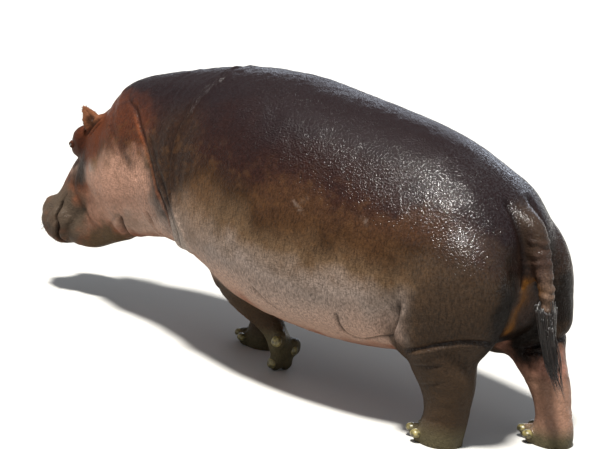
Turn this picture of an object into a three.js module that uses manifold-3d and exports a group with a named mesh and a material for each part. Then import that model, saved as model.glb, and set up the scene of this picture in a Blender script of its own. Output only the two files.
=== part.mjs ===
// A life-size common hippopotamus, standing with its head lowered and its left forefoot on its toes.
//
// Millimetres, +Z up. The animal faces -X, its left side is -Y, and its soles stand at Z = 0.
// The body is modelled whole and then divided into its named parts with thin cuts.

import * as THREE from "three";
import { LoftGeometry } from "three/addons/geometries/LoftGeometry.js";
import { mergeVertices } from "three/addons/utils/BufferGeometryUtils.js";
import Module from "manifold-3d";

const wasm = await Module();
wasm.setup();

// ---------------------------------------------------------------- driving dimensions

const GAP = 0.4; // clearance left where two parts meet
const FRAME_SHIFT = 75; // moves the animal along X, so that its footprint is centred on the origin
const FAR = 6000; // longer than the animal in every direction
const WELD = 1e-3; // points closer than this are one point

// Facets round each kind of form.
const FACETS = {
  trunk: 24,
  skull: 20,
  jaw: 18,
  leg: 12,
  tail: 8,
  ear: 8,
  bodyBulge: 14,
  headBulge: 10,
  small: 8,
};

const HEAD_PITCH = THREE.MathUtils.degToRad(52); // nose-down angle of the head
const HEAD_ORIGIN = new THREE.Vector3(-1242, 0, 897); // joint of the skull and the neck
const SIDES = { left: -1, right: 1 };

// Trunk and neck, from the buttocks forward: heights of the back and the belly, half the width,
// the height at which the section is widest, and how square the section is (2 is an ellipse).
const BODY_STATIONS = [
  { x: 1310, top: 900, bottom: 640, halfWidth: 150, widest: 760, square: 2.0 },
  { x: 1280, top: 1020, bottom: 520, halfWidth: 290, widest: 760, square: 2.0 },
  { x: 1210, top: 1108, bottom: 455, halfWidth: 370, widest: 765, square: 2.0 },
  { x: 1100, top: 1190, bottom: 415, halfWidth: 425, widest: 760, square: 2.1 },
  { x: 950, top: 1264, bottom: 360, halfWidth: 475, widest: 740, square: 2.1 },
  { x: 760, top: 1328, bottom: 300, halfWidth: 520, widest: 710, square: 2.1 },
  { x: 480, top: 1376, bottom: 262, halfWidth: 565, widest: 690, square: 2.1 },
  { x: 180, top: 1408, bottom: 268, halfWidth: 575, widest: 700, square: 2.2 },
  { x: -130, top: 1438, bottom: 300, halfWidth: 545, widest: 740, square: 2.2 },
  { x: -400, top: 1428, bottom: 350, halfWidth: 480, widest: 780, square: 2.1 },
  { x: -620, top: 1386, bottom: 415, halfWidth: 405, widest: 810, square: 2.1 },
  { x: -820, top: 1330, bottom: 425, halfWidth: 345, widest: 800, square: 2.1 },
  { x: -1000, top: 1262, bottom: 410, halfWidth: 315, widest: 780, square: 2.1 },
  { x: -1140, top: 1200, bottom: 395, halfWidth: 290, widest: 780, square: 2.1 },
  { x: -1240, top: 1115, bottom: 450, halfWidth: 240, widest: 800, square: 2.0 },
  { x: -1300, top: 1010, bottom: 620, halfWidth: 150, widest: 840, square: 2.0 },
];

// Skull with the upper lip, in the head's own frame: X runs back from the muzzle,
// and Z is up when the head is held level.
const SKULL_STATIONS = [
  { x: 170, top: 60, bottom: -120, halfWidth: 110, widest: -30, square: 2.0 },
  { x: 90, top: 135, bottom: -190, halfWidth: 200, widest: -50, square: 2.1 },
  { x: -30, top: 166, bottom: -220, halfWidth: 238, widest: -60, square: 2.2 },
  { x: -150, top: 168, bottom: -215, halfWidth: 228, widest: -80, square: 2.2 },
  { x: -260, top: 136, bottom: -195, halfWidth: 192, widest: -80, square: 2.2 },
  { x: -350, top: 104, bottom: -165, halfWidth: 150, widest: -60, square: 2.3 },
  { x: -440, top: 84, bottom: -150, halfWidth: 130, widest: -40, square: 2.4 },
  { x: -530, top: 80, bottom: -150, halfWidth: 158, widest: -40, square: 2.6 },
  { x: -610, top: 92, bottom: -160, halfWidth: 190, widest: -45, square: 2.8 },
  { x: -668, top: 86, bottom: -158, halfWidth: 196, widest: -45, square: 2.8 },
  { x: -704, top: 58, bottom: -140, halfWidth: 174, widest: -40, square: 2.6 },
  { x: -724, top: 5, bottom: -100, halfWidth: 126, widest: -45, square: 2.4 },
];

// Lower jaw with the throat behind it, in the same frame.
const JAW_STATIONS = [
  { x: 80, top: -90, bottom: -330, halfWidth: 200, widest: -200, square: 2.1 },
  { x: -40, top: -70, bottom: -385, halfWidth: 226, widest: -200, square: 2.1 },
  { x: -160, top: -60, bottom: -405, halfWidth: 228, widest: -200, square: 2.1 },
  { x: -280, top: -60, bottom: -400, halfWidth: 196, widest: -200, square: 2.2 },
  { x: -390, top: -60, bottom: -372, halfWidth: 150, widest: -190, square: 2.3 },
  { x: -480, top: -60, bottom: -325, halfWidth: 132, widest: -180, square: 2.4 },
  { x: -550, top: -70, bottom: -282, halfWidth: 146, widest: -170, square: 2.4 },
  { x: -610, top: -80, bottom: -238, halfWidth: 142, widest: -160, square: 2.4 },
  { x: -650, top: -100, bottom: -196, halfWidth: 112, widest: -150, square: 2.2 },
];

// Outline of the lower jaw's part of the head, seen from the side: the mouth from the front of
// the lips up to its corner, and then down behind the jaw.
const MOUTH_LINE = [
  [-800, -165],
  [-700, -135],
  [-655, -110],
  [-600, -66],
  [-500, -26],
  [-400, -22],
  [-300, 12],
];
const JAW_BACK = [
  [-210, -80],
  [-90, -180],
  [-40, -300],
  [-60, -600],
  [-800, -600],
];

// Rounded forms that stand out from those lofts, one on each side: centre and half sizes.
const BODY_BULGES = {
  haunch: { at: [1005, 250, 685], size: [358, 222, 372] },
  shoulder: { at: [-470, 245, 830], size: [250, 180, 330] },
};
const HEAD_BULGES = {
  cheek: { at: [-100, 160, -140], size: [180, 98, 190] },
  brow: { at: [-210, 114, 128], size: [82, 50, 64] },
  nostril: { at: [-632, 96, 64], size: [80, 56, 46] },
  lip: { at: [-618, 138, -58], size: [104, 66, 84] },
};
const EYE = { at: [-236, 141, 147], radius: 24 };

// Legs, from inside the body down to the sole: centre of each section, half its length
// fore and aft, and half its width. The foot starts at the height of the ankle or wrist.
const LEGS = {
  hindleg_left: {
    foot: "hindfoot_left",
    footTop: 118,
    stations: [
      { at: [1020, -255, 720], deep: 190, wide: 150 },
      { at: [1050, -275, 580], deep: 200, wide: 160 },
      { at: [1072, -285, 450], deep: 170, wide: 152 },
      { at: [1092, -282, 350], deep: 138, wide: 130 },
      { at: [1118, -275, 240], deep: 104, wide: 106 },
      { at: [1128, -270, 130], deep: 92, wide: 98 },
      { at: [1128, -270, 50], deep: 104, wide: 108 },
      { at: [1128, -270, -30], deep: 100, wide: 104 },
    ],
  },
  hindleg_right: {
    foot: "hindfoot_right",
    footTop: 118,
    stations: [
      { at: [1060, 255, 720], deep: 190, wide: 150 },
      { at: [1130, 258, 580], deep: 195, wide: 158 },
      { at: [1205, 250, 460], deep: 172, wide: 142 },
      { at: [1290, 232, 350], deep: 130, wide: 118 },
      { at: [1370, 210, 240], deep: 94, wide: 96 },
      { at: [1412, 195, 130], deep: 82, wide: 90 },
      { at: [1425, 190, 50], deep: 96, wide: 102 },
      { at: [1425, 190, -30], deep: 94, wide: 98 },
    ],
  },
  foreleg_right: {
    foot: "forefoot_right",
    footTop: 118,
    stations: [
      { at: [-500, 290, 720], deep: 165, wide: 118 },
      { at: [-495, 290, 560], deep: 155, wide: 120 },
      { at: [-455, 265, 430], deep: 130, wide: 115 },
      { at: [-395, 225, 310], deep: 102, wide: 98 },
      { at: [-335, 178, 200], deep: 84, wide: 88 },
      { at: [-308, 150, 130], deep: 84, wide: 92 },
      { at: [-300, 138, 50], deep: 96, wide: 102 },
      { at: [-300, 138, -30], deep: 94, wide: 98 },
    ],
  },
  foreleg_left: {
    foot: "forefoot_left",
    footTop: 190,
    trails: true,
    stations: [
      { at: [-450, -290, 740], deep: 160, wide: 115 },
      { at: [-400, -305, 610], deep: 140, wide: 115 },
      { at: [-305, -298, 505], deep: 114, wide: 105 },
      { at: [-205, -262, 408], deep: 90, wide: 92 },
      { at: [-122, -208, 315], deep: 76, wide: 80 },
      { at: [-45, -158, 242], deep: 64, wide: 70 },
      { at: [-2, -130, 172], deep: 52, wide: 66 },
      { at: [18, -112, 105], deep: 46, wide: 68 },
      { at: [24, -106, 62], deep: 34, wide: 54 },
    ],
  },
};

// Tail, from inside the rump to its tip, and the brush of coarse hair round its end.
const TAIL_STATIONS = [
  { at: [1100, 0, 1035], deep: 66, wide: 70 },
  { at: [1205, 0, 1032], deep: 70, wide: 74 },
  { at: [1286, 0, 985], deep: 70, wide: 72 },
  { at: [1334, 0, 900], deep: 63, wide: 64 },
  { at: [1382, 0, 795], deep: 55, wide: 57 },
  { at: [1410, 0, 700], deep: 47, wide: 49 },
  { at: [1424, 0, 630], deep: 36, wide: 38 },
  { at: [1440, 0, 565], deep: 24, wide: 26 },
];
const TUFT_STATIONS = [
  { at: [1424, 0, 628], deep: 40, wide: 42 },
  { at: [1442, 0, 560], deep: 50, wide: 48 },
  { at: [1472, 0, 480], deep: 50, wide: 44 },
  { at: [1510, 0, 400], deep: 38, wide: 32 },
  { at: [1552, 0, 335], deep: 22, wide: 18 },
  { at: [1585, 0, 288], deep: 7, wide: 6 },
];

// Ear, in the head's frame for the right side: a cupped leaf whose root lies in the head.
// Its outline gives the share of its length and the share of its half width.
const EAR = {
  root: [-42, 132, 104],
  tip: [4, 192, 236],
  back: [0.75, 0.5, -0.3],
  halfWidth: 43,
  thickness: 11,
  rim: 0.4, // share of the thickness that is left where the ear is narrowest
  cup: 18,
  outline: [
    [0, 0.85],
    [0.25, 1],
    [0.5, 0.88],
    [0.72, 0.62],
    [0.89, 0.34],
    [1, 0.1],
  ],
};

// Toes and nails. A toe points along -X from its own centre. Those of a standing foot fan out
// round the sole; turn is degrees to the left or right, and reach is from the middle of the sole.
const TOE = { at: [0, 0, 0], size: [50, 32, 40] };
const TOE_HEIGHT = 32;
const TOE_FORWARD = 12;
const TOE_FAN = [
  { turn: -62, reach: 82 },
  { turn: -21, reach: 96 },
  { turn: 21, reach: 96 },
  { turn: 62, reach: 82 },
];
const NAIL = { at: [-34, 0, 10], size: [22, 24, 20] };
const NAIL_CLEARANCE = 3; // height of the lowest nail over the floor

// The raised forefoot's toes point down, from the outer one to the inner one.
const RAISED_TOES = [
  { at: [18, -168, 138], turn: 14, pitch: 78 },
  { at: [10, -128, 44], turn: 4, pitch: 80 },
  { at: [28, -84, 44], turn: -4, pitch: 80 },
  { at: [40, -34, 112], turn: -14, pitch: 80 },
];

// Planes that part the body: each keeps what lies beyond the distance along its direction.
const HEAD_CUT = { direction: [-0.958, 0, -0.286], distance: 872 };
const NECK_CUT = { direction: [-0.99, 0, -0.14], distance: 530 };
const HIP_CUTS = [
  { direction: [0.985, 0, -0.173], distance: 804 },
  { direction: [-0.308, 0, -0.951], distance: -1075 },
];
const SHOULDER_CUTS = [
  { direction: [0.985, 0, -0.171], distance: -760 },
  { direction: [-0.973, 0, -0.23], distance: 140 },
  { direction: [0, 0, -1], distance: -740 },
];
const INNER_CUTS = {
  hind: { direction: [0, 0.976, -0.22], distance: 58 },
  fore: { direction: [0, 0.938, -0.348], distance: -2 },
};
const LEG_MARGIN = 3; // how far a leg's cut lies outside its own surface

// Colours of the skin, the eyes, the nails and the tail's hair.
const WET_SKIN = 0.45; // roughness of the skin
const FINISHES = {
  eye: { color: 0x17100c, roughness: 0.1 },
  nail: { color: 0x57503a, roughness: 0.5 },
  tuft: { color: 0x14110f, roughness: 0.4 },
  ear: { color: 0x8a4f35, roughness: WET_SKIN },
  jaw: { color: 0x8d6556, roughness: WET_SKIN },
  head: { color: 0x8d6556, roughness: WET_SKIN },
  leg: { color: 0x5e4d44, roughness: WET_SKIN },
  foot: { color: 0x5e4d44, roughness: WET_SKIN },
  trunk: { color: 0x4a3b36, roughness: WET_SKIN },
  neck: { color: 0x6b4f42, roughness: WET_SKIN },
  tail: { color: 0x4a3b36, roughness: WET_SKIN },
};

// ---------------------------------------------------------------- solids

// A closed three.js geometry as a manifold solid.
function solidOf(geometry) {
  const faces = new THREE.BufferGeometry();
  faces.setAttribute("position", geometry.getAttribute("position"));
  faces.setIndex(geometry.getIndex());
  const merged = mergeVertices(faces, WELD);
  return new wasm.Manifold(
    new wasm.Mesh({
      numProp: 3,
      vertProperties: new Float32Array(merged.attributes.position.array),
      triVerts: new Uint32Array(merged.index.array),
    }),
  );
}

// A solid as a three.js geometry with flat facets.
function geometryOf(solid) {
  const mesh = solid.getMesh();
  const geometry = new THREE.BufferGeometry();
  geometry.setAttribute("position", new THREE.BufferAttribute(mesh.vertProperties, 3));
  geometry.setIndex(new THREE.BufferAttribute(mesh.triVerts, 1));
  geometry.computeVertexNormals();
  return geometry;
}

function union(solids) {
  return wasm.Manifold.union(solids);
}

// Points round a rounded section. The shape gives each point from a cosine-like and a sine-like value.
function ring(count, square, shape) {
  return Array.from({ length: count }, (_, i) => {
    const angle = (2 * Math.PI * (i + 0.5)) / count;
    const fill = (v) => Math.sign(v) * Math.abs(v) ** (2 / square);
    return shape(fill(Math.cos(angle)), fill(Math.sin(angle)));
  });
}

// A closed loft through rings of points. The rings may run round either way: those that run
// clockwise, seen from the far end, are turned round.
function loft(rings) {
  const [first, last] = [rings[0], rings.at(-1)];
  const quarter = Math.floor(first.length / 4);
  const across = new THREE.Vector3().subVectors(first[0], first[2 * quarter]);
  const up = new THREE.Vector3().subVectors(first[quarter], first[3 * quarter]);
  const way = new THREE.Vector3().subVectors(last[0], first[0]);
  const outward = across.cross(up).dot(way) > 0;
  const sections = outward ? rings : rings.map((points) => points.toReversed());
  return solidOf(new LoftGeometry(sections, { closed: true, capStart: true, capEnd: true }));
}

// A form that runs along X, such as the trunk or the head.
function barrel(stations, around) {
  const rings = stations.map(({ x, top, bottom, halfWidth, widest, square }) =>
    ring(around, square, (across, up) => {
      const reach = up > 0 ? top - widest : widest - bottom;
      return new THREE.Vector3(x, across * halfWidth, widest + up * reach);
    }),
  );
  return loft(rings);
}

// A limb that runs through the centres of its stations, with each section square to its way.
function limb(stations, around, grow = 0) {
  const centres = stations.map(({ at }) => new THREE.Vector3(...at));
  const last = stations.length - 1;
  const rings = stations.map(({ deep, wide }, i) => {
    const way = new THREE.Vector3().subVectors(centres[Math.min(i + 1, last)], centres[Math.max(i - 1, 0)]);
    way.normalize();
    const back = new THREE.Vector3().crossVectors(way, new THREE.Vector3(0, 1, 0)).normalize();
    const sideways = new THREE.Vector3().crossVectors(back, way);
    const lengthen = i === 0 ? -grow : i === last ? grow : 0;
    const centre = centres[i].clone().addScaledVector(way, lengthen);
    return ring(around, 2, (across, up) => {
      const point = centre.clone().addScaledVector(sideways, across * (wide + grow));
      return point.addScaledVector(back, up * (deep + grow));
    });
  });
  return loft(rings);
}

// An ellipsoid, from its centre and half sizes.
function bulge({ at, size }, around, grow = 0) {
  const sphere = new THREE.SphereGeometry(1, around, around / 2);
  sphere.scale(size[0] + grow, size[1] + grow, size[2] + grow);
  sphere.translate(...at);
  return solidOf(sphere);
}

// A pair of ellipsoids, one on each side of the middle.
function bulgePair({ at: [x, y, z], size }, around) {
  return Object.values(SIDES).map((sign) => bulge({ at: [x, y * sign, z], size }, around));
}

// What lies beyond all of a list of planes. Each plane is moved outwards by grow.
function beyond(planes, grow = 0) {
  const block = solidOf(new THREE.BoxGeometry(FAR, FAR, FAR));
  return planes.reduce((rest, { direction, distance }) => {
    const normal = new THREE.Vector3(...direction).normalize();
    return rest.trimByPlane(normal.toArray(), distance - grow);
  }, block);
}

// ---------------------------------------------------------------- the forms of the body

const headMatrix = new THREE.Matrix4().makeRotationY(-HEAD_PITCH).setPosition(HEAD_ORIGIN);

// A solid made in the head's own frame, put on the neck.
function inHead(solid) {
  return solid.transform(headMatrix.elements);
}

function makeTrunk() {
  const bulges = Object.values(BODY_BULGES).flatMap((form) => bulgePair(form, FACETS.bodyBulge));
  return union([barrel(BODY_STATIONS, FACETS.trunk), ...bulges]);
}

function makeSkull() {
  const bulges = Object.values(HEAD_BULGES).flatMap((form) => bulgePair(form, FACETS.headBulge));
  return inHead(union([barrel(SKULL_STATIONS, FACETS.skull), ...bulges]));
}

function makeJaw() {
  return inHead(barrel(JAW_STATIONS, FACETS.jaw));
}

function makeEye(sign, grow) {
  const [x, y, z] = EYE.at;
  return inHead(bulge({ at: [x, y * sign, z], size: Array(3).fill(EYE.radius) }, FACETS.small, grow));
}

// A cupped leaf: the edges of its sections lie further forward than their middle.
function makeEar(sign, grow) {
  const mirrored = ([x, y, z]) => new THREE.Vector3(x, y * sign, z);
  const [root, tip, back] = [EAR.root, EAR.tip, EAR.back].map(mirrored);
  const way = new THREE.Vector3().subVectors(tip, root).normalize();
  const aside = new THREE.Vector3().crossVectors(back, way).normalize();
  back.crossVectors(way, aside);
  const last = EAR.outline.length - 1;
  const rings = EAR.outline.map(([along, width], i) => {
    const lengthen = i === 0 ? -grow : i === last ? grow : 0;
    const centre = root.clone().lerp(tip, along).addScaledVector(way, lengthen);
    return ring(FACETS.ear, 2, (across, up) => {
      const thickness = EAR.thickness * (EAR.rim + (1 - EAR.rim) * width) + grow;
      const depth = up * thickness - EAR.cup * width * across * across;
      const point = centre.clone().addScaledVector(aside, across * (EAR.halfWidth * width + grow));
      return point.addScaledVector(back, depth);
    });
  });
  return inHead(loft(rings));
}

// ---------------------------------------------------------------- toes and nails

// Where the toes of a standing foot are, round the middle of its sole.
function fanOfToes([x, y]) {
  return TOE_FAN.map(({ turn, reach }) => {
    const angle = THREE.MathUtils.degToRad(turn);
    const forward = TOE_FORWARD + Math.cos(angle) * reach;
    return { at: [x - forward, y + Math.sin(angle) * reach, TOE_HEIGHT], turn: -turn, pitch: 0 };
  });
}

// A solid made at a toe's own centre, turned and pitched down, and put in its place.
function onToe(solid, { at, turn, pitch }) {
  const matrix = new THREE.Matrix4().makeRotationY(THREE.MathUtils.degToRad(-pitch));
  matrix.multiply(new THREE.Matrix4().makeRotationZ(THREE.MathUtils.degToRad(turn)));
  matrix.setPosition(...at);
  return solid.transform(matrix.elements);
}

function makeToe(place, grow = 0) {
  return onToe(bulge(TOE, FACETS.small, grow), place);
}

function makeNail(place, grow) {
  return onToe(bulge(NAIL, FACETS.small, grow), place).trimByPlane([0, 0, 1], NAIL_CLEARANCE - grow);
}

// ---------------------------------------------------------------- dividing the body

const toes = Object.fromEntries(
  Object.entries(LEGS).map(([name, { stations }]) => [
    name,
    name === "foreleg_left" ? RAISED_TOES : fanOfToes(stations.at(-1).at),
  ]),
);

let flesh = union([
  makeTrunk(),
  makeSkull(),
  makeJaw(),
  ...Object.values(LEGS).map(({ stations }) => limb(stations, FACETS.leg)),
  ...Object.values(toes).flat().map((place) => makeToe(place)),
]).trimByPlane([0, 0, 1], 0);

const parts = {};

// Takes a part out of the flesh where its region says, and leaves the gap round it.
function divide(name, region) {
  parts[name] = flesh.intersect(region(0));
  flesh = flesh.subtract(region(GAP));
}

// Sets a form of its own into the flesh, which is cut back round it.
function inset(name, form) {
  parts[name] = form(0);
  flesh = flesh.subtract(form(GAP));
}

// The space round a leg: the block that its cuts leave. A leg that trails behind that block
// also takes a sleeve round its own form.
function legRegion(name, grow) {
  const { stations, trails } = LEGS[name];
  const [end, side] = name.split("leg_");
  const [, across, down] = INNER_CUTS[end].direction;
  const inner = { ...INNER_CUTS[end], direction: [0, across * SIDES[side], down] };
  const block = beyond([inner, ...(end === "hind" ? HIP_CUTS : SHOULDER_CUTS)], grow);
  if (!trails) return block;
  const sleeve = LEG_MARGIN + grow;
  const toeSleeves = toes[name].map((place) => makeToe(place, sleeve));
  return union([block, limb(stations, FACETS.leg, sleeve), ...toeSleeves]);
}

// The lower jaw's share of the head, from the side view of its edge.
function jawRegion(grow) {
  const outline = new THREE.Shape([...MOUTH_LINE, ...JAW_BACK].map(([x, z]) => new THREE.Vector2(x, z)));
  const width = FAR / 4;
  const bevel = { bevelEnabled: grow > 0, bevelSegments: 1, bevelSize: grow, bevelThickness: grow };
  const prism = new THREE.ExtrudeGeometry(outline, { depth: width, ...bevel });
  prism.translate(0, 0, -width / 2);
  prism.rotateX(Math.PI / 2);
  return inHead(solidOf(prism)).intersect(beyond([HEAD_CUT], grow));
}

for (const [side, sign] of Object.entries(SIDES)) {
  inset("eye_" + side, (grow) => makeEye(sign, grow));
  inset("ear_" + side, (grow) => makeEar(sign, grow));
}
for (const [name, places] of Object.entries(toes)) {
  const foot = LEGS[name].foot;
  places.forEach((place, i) => inset(foot + "_nail_" + (i + 1), (grow) => makeNail(place, grow)));
}
inset("tail", (grow) => limb(TAIL_STATIONS, FACETS.tail, grow));
parts.tail_tuft = limb(TUFT_STATIONS, FACETS.tail).subtract(limb(TAIL_STATIONS, FACETS.tail, GAP));

for (const [name, { foot, footTop }] of Object.entries(LEGS)) {
  divide(name, (grow) => legRegion(name, grow));
  const leg = parts[name];
  parts[foot] = leg.trimByPlane([0, 0, -1], GAP / 2 - footTop);
  parts[name] = leg.trimByPlane([0, 0, 1], GAP / 2 + footTop);
}
divide("lower_jaw", jawRegion);
divide("head", (grow) => beyond([HEAD_CUT], grow));
divide("neck", (grow) => beyond([NECK_CUT], grow));
parts.trunk = flesh;

// ---------------------------------------------------------------- the finished animal

const materials = Object.fromEntries(
  Object.entries(FINISHES).map(([word, finish]) => [word, new THREE.MeshStandardMaterial(finish)]),
);

const animal = new THREE.Group();
for (const [name, solid] of Object.entries(parts)) {
  const kind = Object.keys(materials).find((word) => name.includes(word));
  const mesh = new THREE.Mesh(geometryOf(solid), materials[kind]);
  mesh.name = name;
  animal.add(mesh);
}
animal.position.x = FRAME_SHIFT;

export default animal;
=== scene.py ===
"""A life-size common hippopotamus, walking with its head lowered, as a museum shows it.

The hide is one skin. It is lofted and swollen from named sizes, joined, smoothed and then
worked over with folds, lids, nostrils and lips. Eyes, nails and hair are pieces of their own.
"""

import logging
import math
from dataclasses import dataclass
from enum import Enum

import bmesh
import bpy
import numpy as np
from mathutils import Matrix, Vector
from mathutils.bvhtree import BVHTree


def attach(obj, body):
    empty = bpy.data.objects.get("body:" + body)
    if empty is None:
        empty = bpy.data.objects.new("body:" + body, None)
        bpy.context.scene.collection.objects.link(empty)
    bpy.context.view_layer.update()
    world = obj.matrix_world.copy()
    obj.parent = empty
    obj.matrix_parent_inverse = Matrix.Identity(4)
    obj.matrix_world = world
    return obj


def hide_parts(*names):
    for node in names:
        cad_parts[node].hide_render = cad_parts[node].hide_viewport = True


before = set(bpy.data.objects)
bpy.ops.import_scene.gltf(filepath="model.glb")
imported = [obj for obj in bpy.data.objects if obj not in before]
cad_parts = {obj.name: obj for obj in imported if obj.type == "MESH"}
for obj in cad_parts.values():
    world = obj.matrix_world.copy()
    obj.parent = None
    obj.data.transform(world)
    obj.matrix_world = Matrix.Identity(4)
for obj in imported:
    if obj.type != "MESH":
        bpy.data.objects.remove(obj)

Tree, Socket = bpy.types.NodeTree, bpy.types.NodeSocket

LOG = logging.getLogger("hippopotamus")
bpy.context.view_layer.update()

MM = 0.001
BODY = "root"
# The sizes below are in a frame of the body's own, whose middle lies this far ahead of the
# scene's, in millimetres. The head has a frame that is lowered with it.
FRAME_SHIFT = 75.0
HEAD_PITCH = math.radians(52.0)
HEAD_ORIGIN = np.array([-1242.0, 0.0, 897.0])
SIDES = (-1, 1)

# Whole numbers that mix a cell's place and a seed into a random value.
CELL_MIX = (73856093, 19349663, 83492791)
SEED_MIX = 2654435
LAST_MIX = 1274126177
NOISE_ORIGIN = 137.0


# ------------ colours and small helpers


def linear(code: str) -> tuple[float, float, float, float]:
    """Turn an sRGB hex value into a linear colour.

    Args:
        code: six hex digits.

    Returns:
        Red, green, blue and alpha.
    """
    levels = [int(code[i : i + 2], 16) / 255.0 for i in (0, 2, 4)]
    return (*[v / 12.92 if v <= 0.04045 else ((v + 0.055) / 1.055) ** 2.4 for v in levels], 1.0)


def smoothstep(value: np.ndarray, low: float, high: float) -> np.ndarray:
    """Rise smoothly from 0 at low to 1 at high, or fall if low is the greater."""
    t = np.clip((value - low) / (high - low), 0.0, 1.0)
    return t * t * (3.0 - 2.0 * t)


def bell(value: np.ndarray, width: float) -> np.ndarray:
    """Fall from 1 at 0 to next to nothing two widths away."""
    return np.exp(-((value / width) ** 2))


def through(knots: np.ndarray, steps: int) -> np.ndarray:
    """Run a smooth curve through rows of values.

    Args:
        knots: one row for each point that the curve passes through.
        steps: how many pieces each span is cut into.

    Returns:
        The rows of the finer curve, with both ends.
    """
    spans = np.linalg.norm(np.diff(knots, axis=0), axis=1)
    slopes = np.diff(knots, axis=0) / spans[:, None]
    before, after = spans[:-1, None], spans[1:, None]
    inner = (slopes[:-1] * after + slopes[1:] * before) / (after + before)
    tangents = np.vstack([slopes[:1], inner, slopes[-1:]])
    rows = []
    for i, span in enumerate(spans):
        for t in np.arange(steps) / steps:
            a, b = 2 * t**3 - 3 * t**2 + 1, -2 * t**3 + 3 * t**2
            c, d = t**3 - 2 * t**2 + t, t**3 - t**2
            bend = span * (c * tangents[i] + d * tangents[i + 1])
            rows.append(a * knots[i] + b * knots[i + 1] + bend)
    return np.array([*rows, knots[-1]])


def head_to_body(points: np.ndarray) -> np.ndarray:
    """Put points of the head's own frame, in millimetres, into the body's, in millimetres."""
    cos, sin = math.cos(HEAD_PITCH), math.sin(HEAD_PITCH)
    x, y, z = np.moveaxis(np.asarray(points, float), -1, 0)
    turned = np.stack([x * cos - z * sin, y, x * sin + z * cos], axis=-1)
    return turned + HEAD_ORIGIN


def to_head(points: np.ndarray) -> np.ndarray:
    """Put points of the scene, in metres, into the head's own frame, in millimetres."""
    cos, sin = math.cos(HEAD_PITCH), math.sin(HEAD_PITCH)
    off = np.asarray(points, float) / MM - HEAD_ORIGIN - [FRAME_SHIFT, 0.0, 0.0]
    x, y, z = np.moveaxis(off, -1, 0)
    return np.stack([x * cos + z * sin, y, z * cos - x * sin], axis=-1)


def to_body(points: np.ndarray) -> np.ndarray:
    """Put points of the scene, in metres, into the body's frame, in millimetres."""
    return points / MM - [FRAME_SHIFT, 0.0, 0.0]


def placed(points: np.ndarray) -> np.ndarray:
    """Put points of the body's frame, in millimetres, into the scene, in metres."""
    return (np.asarray(points, float) + [FRAME_SHIFT, 0.0, 0.0]) * MM


def sides_of(both_sides: bool) -> tuple[int, ...]:
    """Give the sides that a form is on: both, or the left alone."""
    return SIDES if both_sides else SIDES[:1]


def middles_of(at: tuple[float, float, float], both_sides: bool) -> list[np.ndarray]:
    """Give the middles of a form that is on both sides, or only where it says."""
    if not both_sides:
        return [np.array(at, float)]
    return [np.array([at[0], abs(at[1]) * side, at[2]], float) for side in SIDES]


def lattice_noise(points: np.ndarray, size: float, seed: int) -> np.ndarray:
    """Smooth random values between -1 and 1 that change over a given distance.

    Args:
        points: where to read them.
        size: distance between one random value and the next, in the points' unit.
        seed: picks the pattern.

    Returns:
        One value for each point.
    """
    scaled = points / size + NOISE_ORIGIN
    cell = np.floor(scaled).astype(np.int64)
    part = scaled - cell
    part = part * part * part * (part * (part * 6 - 15) + 10)
    total = np.zeros(len(points))
    for corner in np.ndindex(2, 2, 2):
        x, y, z = ((cell + corner) * CELL_MIX).T
        mixed = x ^ y ^ z ^ seed * SEED_MIX
        mixed = (mixed ^ (mixed >> 13)) * LAST_MIX & 0x7FFFFFFF
        value = ((mixed ^ (mixed >> 16)) & 0xFFFF) / 32767.5 - 1.0
        weight = np.prod(np.where(np.array(corner) == 1, part, 1.0 - part), axis=1)
        total += value * weight
    return total


def triangles(mesh: bpy.types.Mesh) -> int:
    """Count the triangles that a mesh's faces make."""
    return sum(len(polygon.vertices) - 2 for polygon in mesh.polygons)


def mesh_of(bm: bmesh.types.BMesh, name: str) -> bpy.types.Mesh:
    """Turn a bmesh into a mesh of the given name, and free it."""
    made = bpy.data.meshes.new(name)
    bm.to_mesh(made)
    bm.free()
    return made


def linked(name: str, data: bpy.types.ID) -> bpy.types.Object:
    """Put a mesh, a light or a camera into the scene as an object."""
    made = bpy.data.objects.new(name, data)
    bpy.context.collection.objects.link(made)
    return made


def add_piece(
    mesh: bpy.types.Mesh, name: str, material: bpy.types.Material, slot: str, *nodes: str
) -> bpy.types.Object:
    """Make a mesh a piece of the animal.

    Args:
        mesh: the piece's shape.
        name: what the piece is called.
        material: what it is made of.
        slot: the record's material slot; not used.
        nodes: the nodes that the piece stands for.

    Returns:
        The piece.
    """
    mesh.materials.append(material)
    mesh.shade_smooth()
    piece = linked(name, mesh)
    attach(piece, BODY)
    if nodes:
        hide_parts(*nodes)
    LOG.info("%s: %d triangles", name, triangles(mesh))
    return piece


# ------------ the forms under the skin


@dataclass(frozen=True)
class Hoop:
    """One section of a barrel-like form: heights of its top and bottom, and where it is widest.

    The higher the power, the squarer the section: 2 is round.
    """

    x: float
    top: float
    bottom: float
    half_width: float
    widest: float
    square: float


@dataclass(frozen=True)
class Girth:
    """One section of a limb: its middle, half its length fore and aft, and half its width."""

    at: tuple[float, float, float]
    deep: float
    wide: float


@dataclass(frozen=True)
class Swelling:
    """A rounded form that stands out on each side: middle and half sizes."""

    at: tuple[float, float, float]
    size: tuple[float, float, float]


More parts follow.
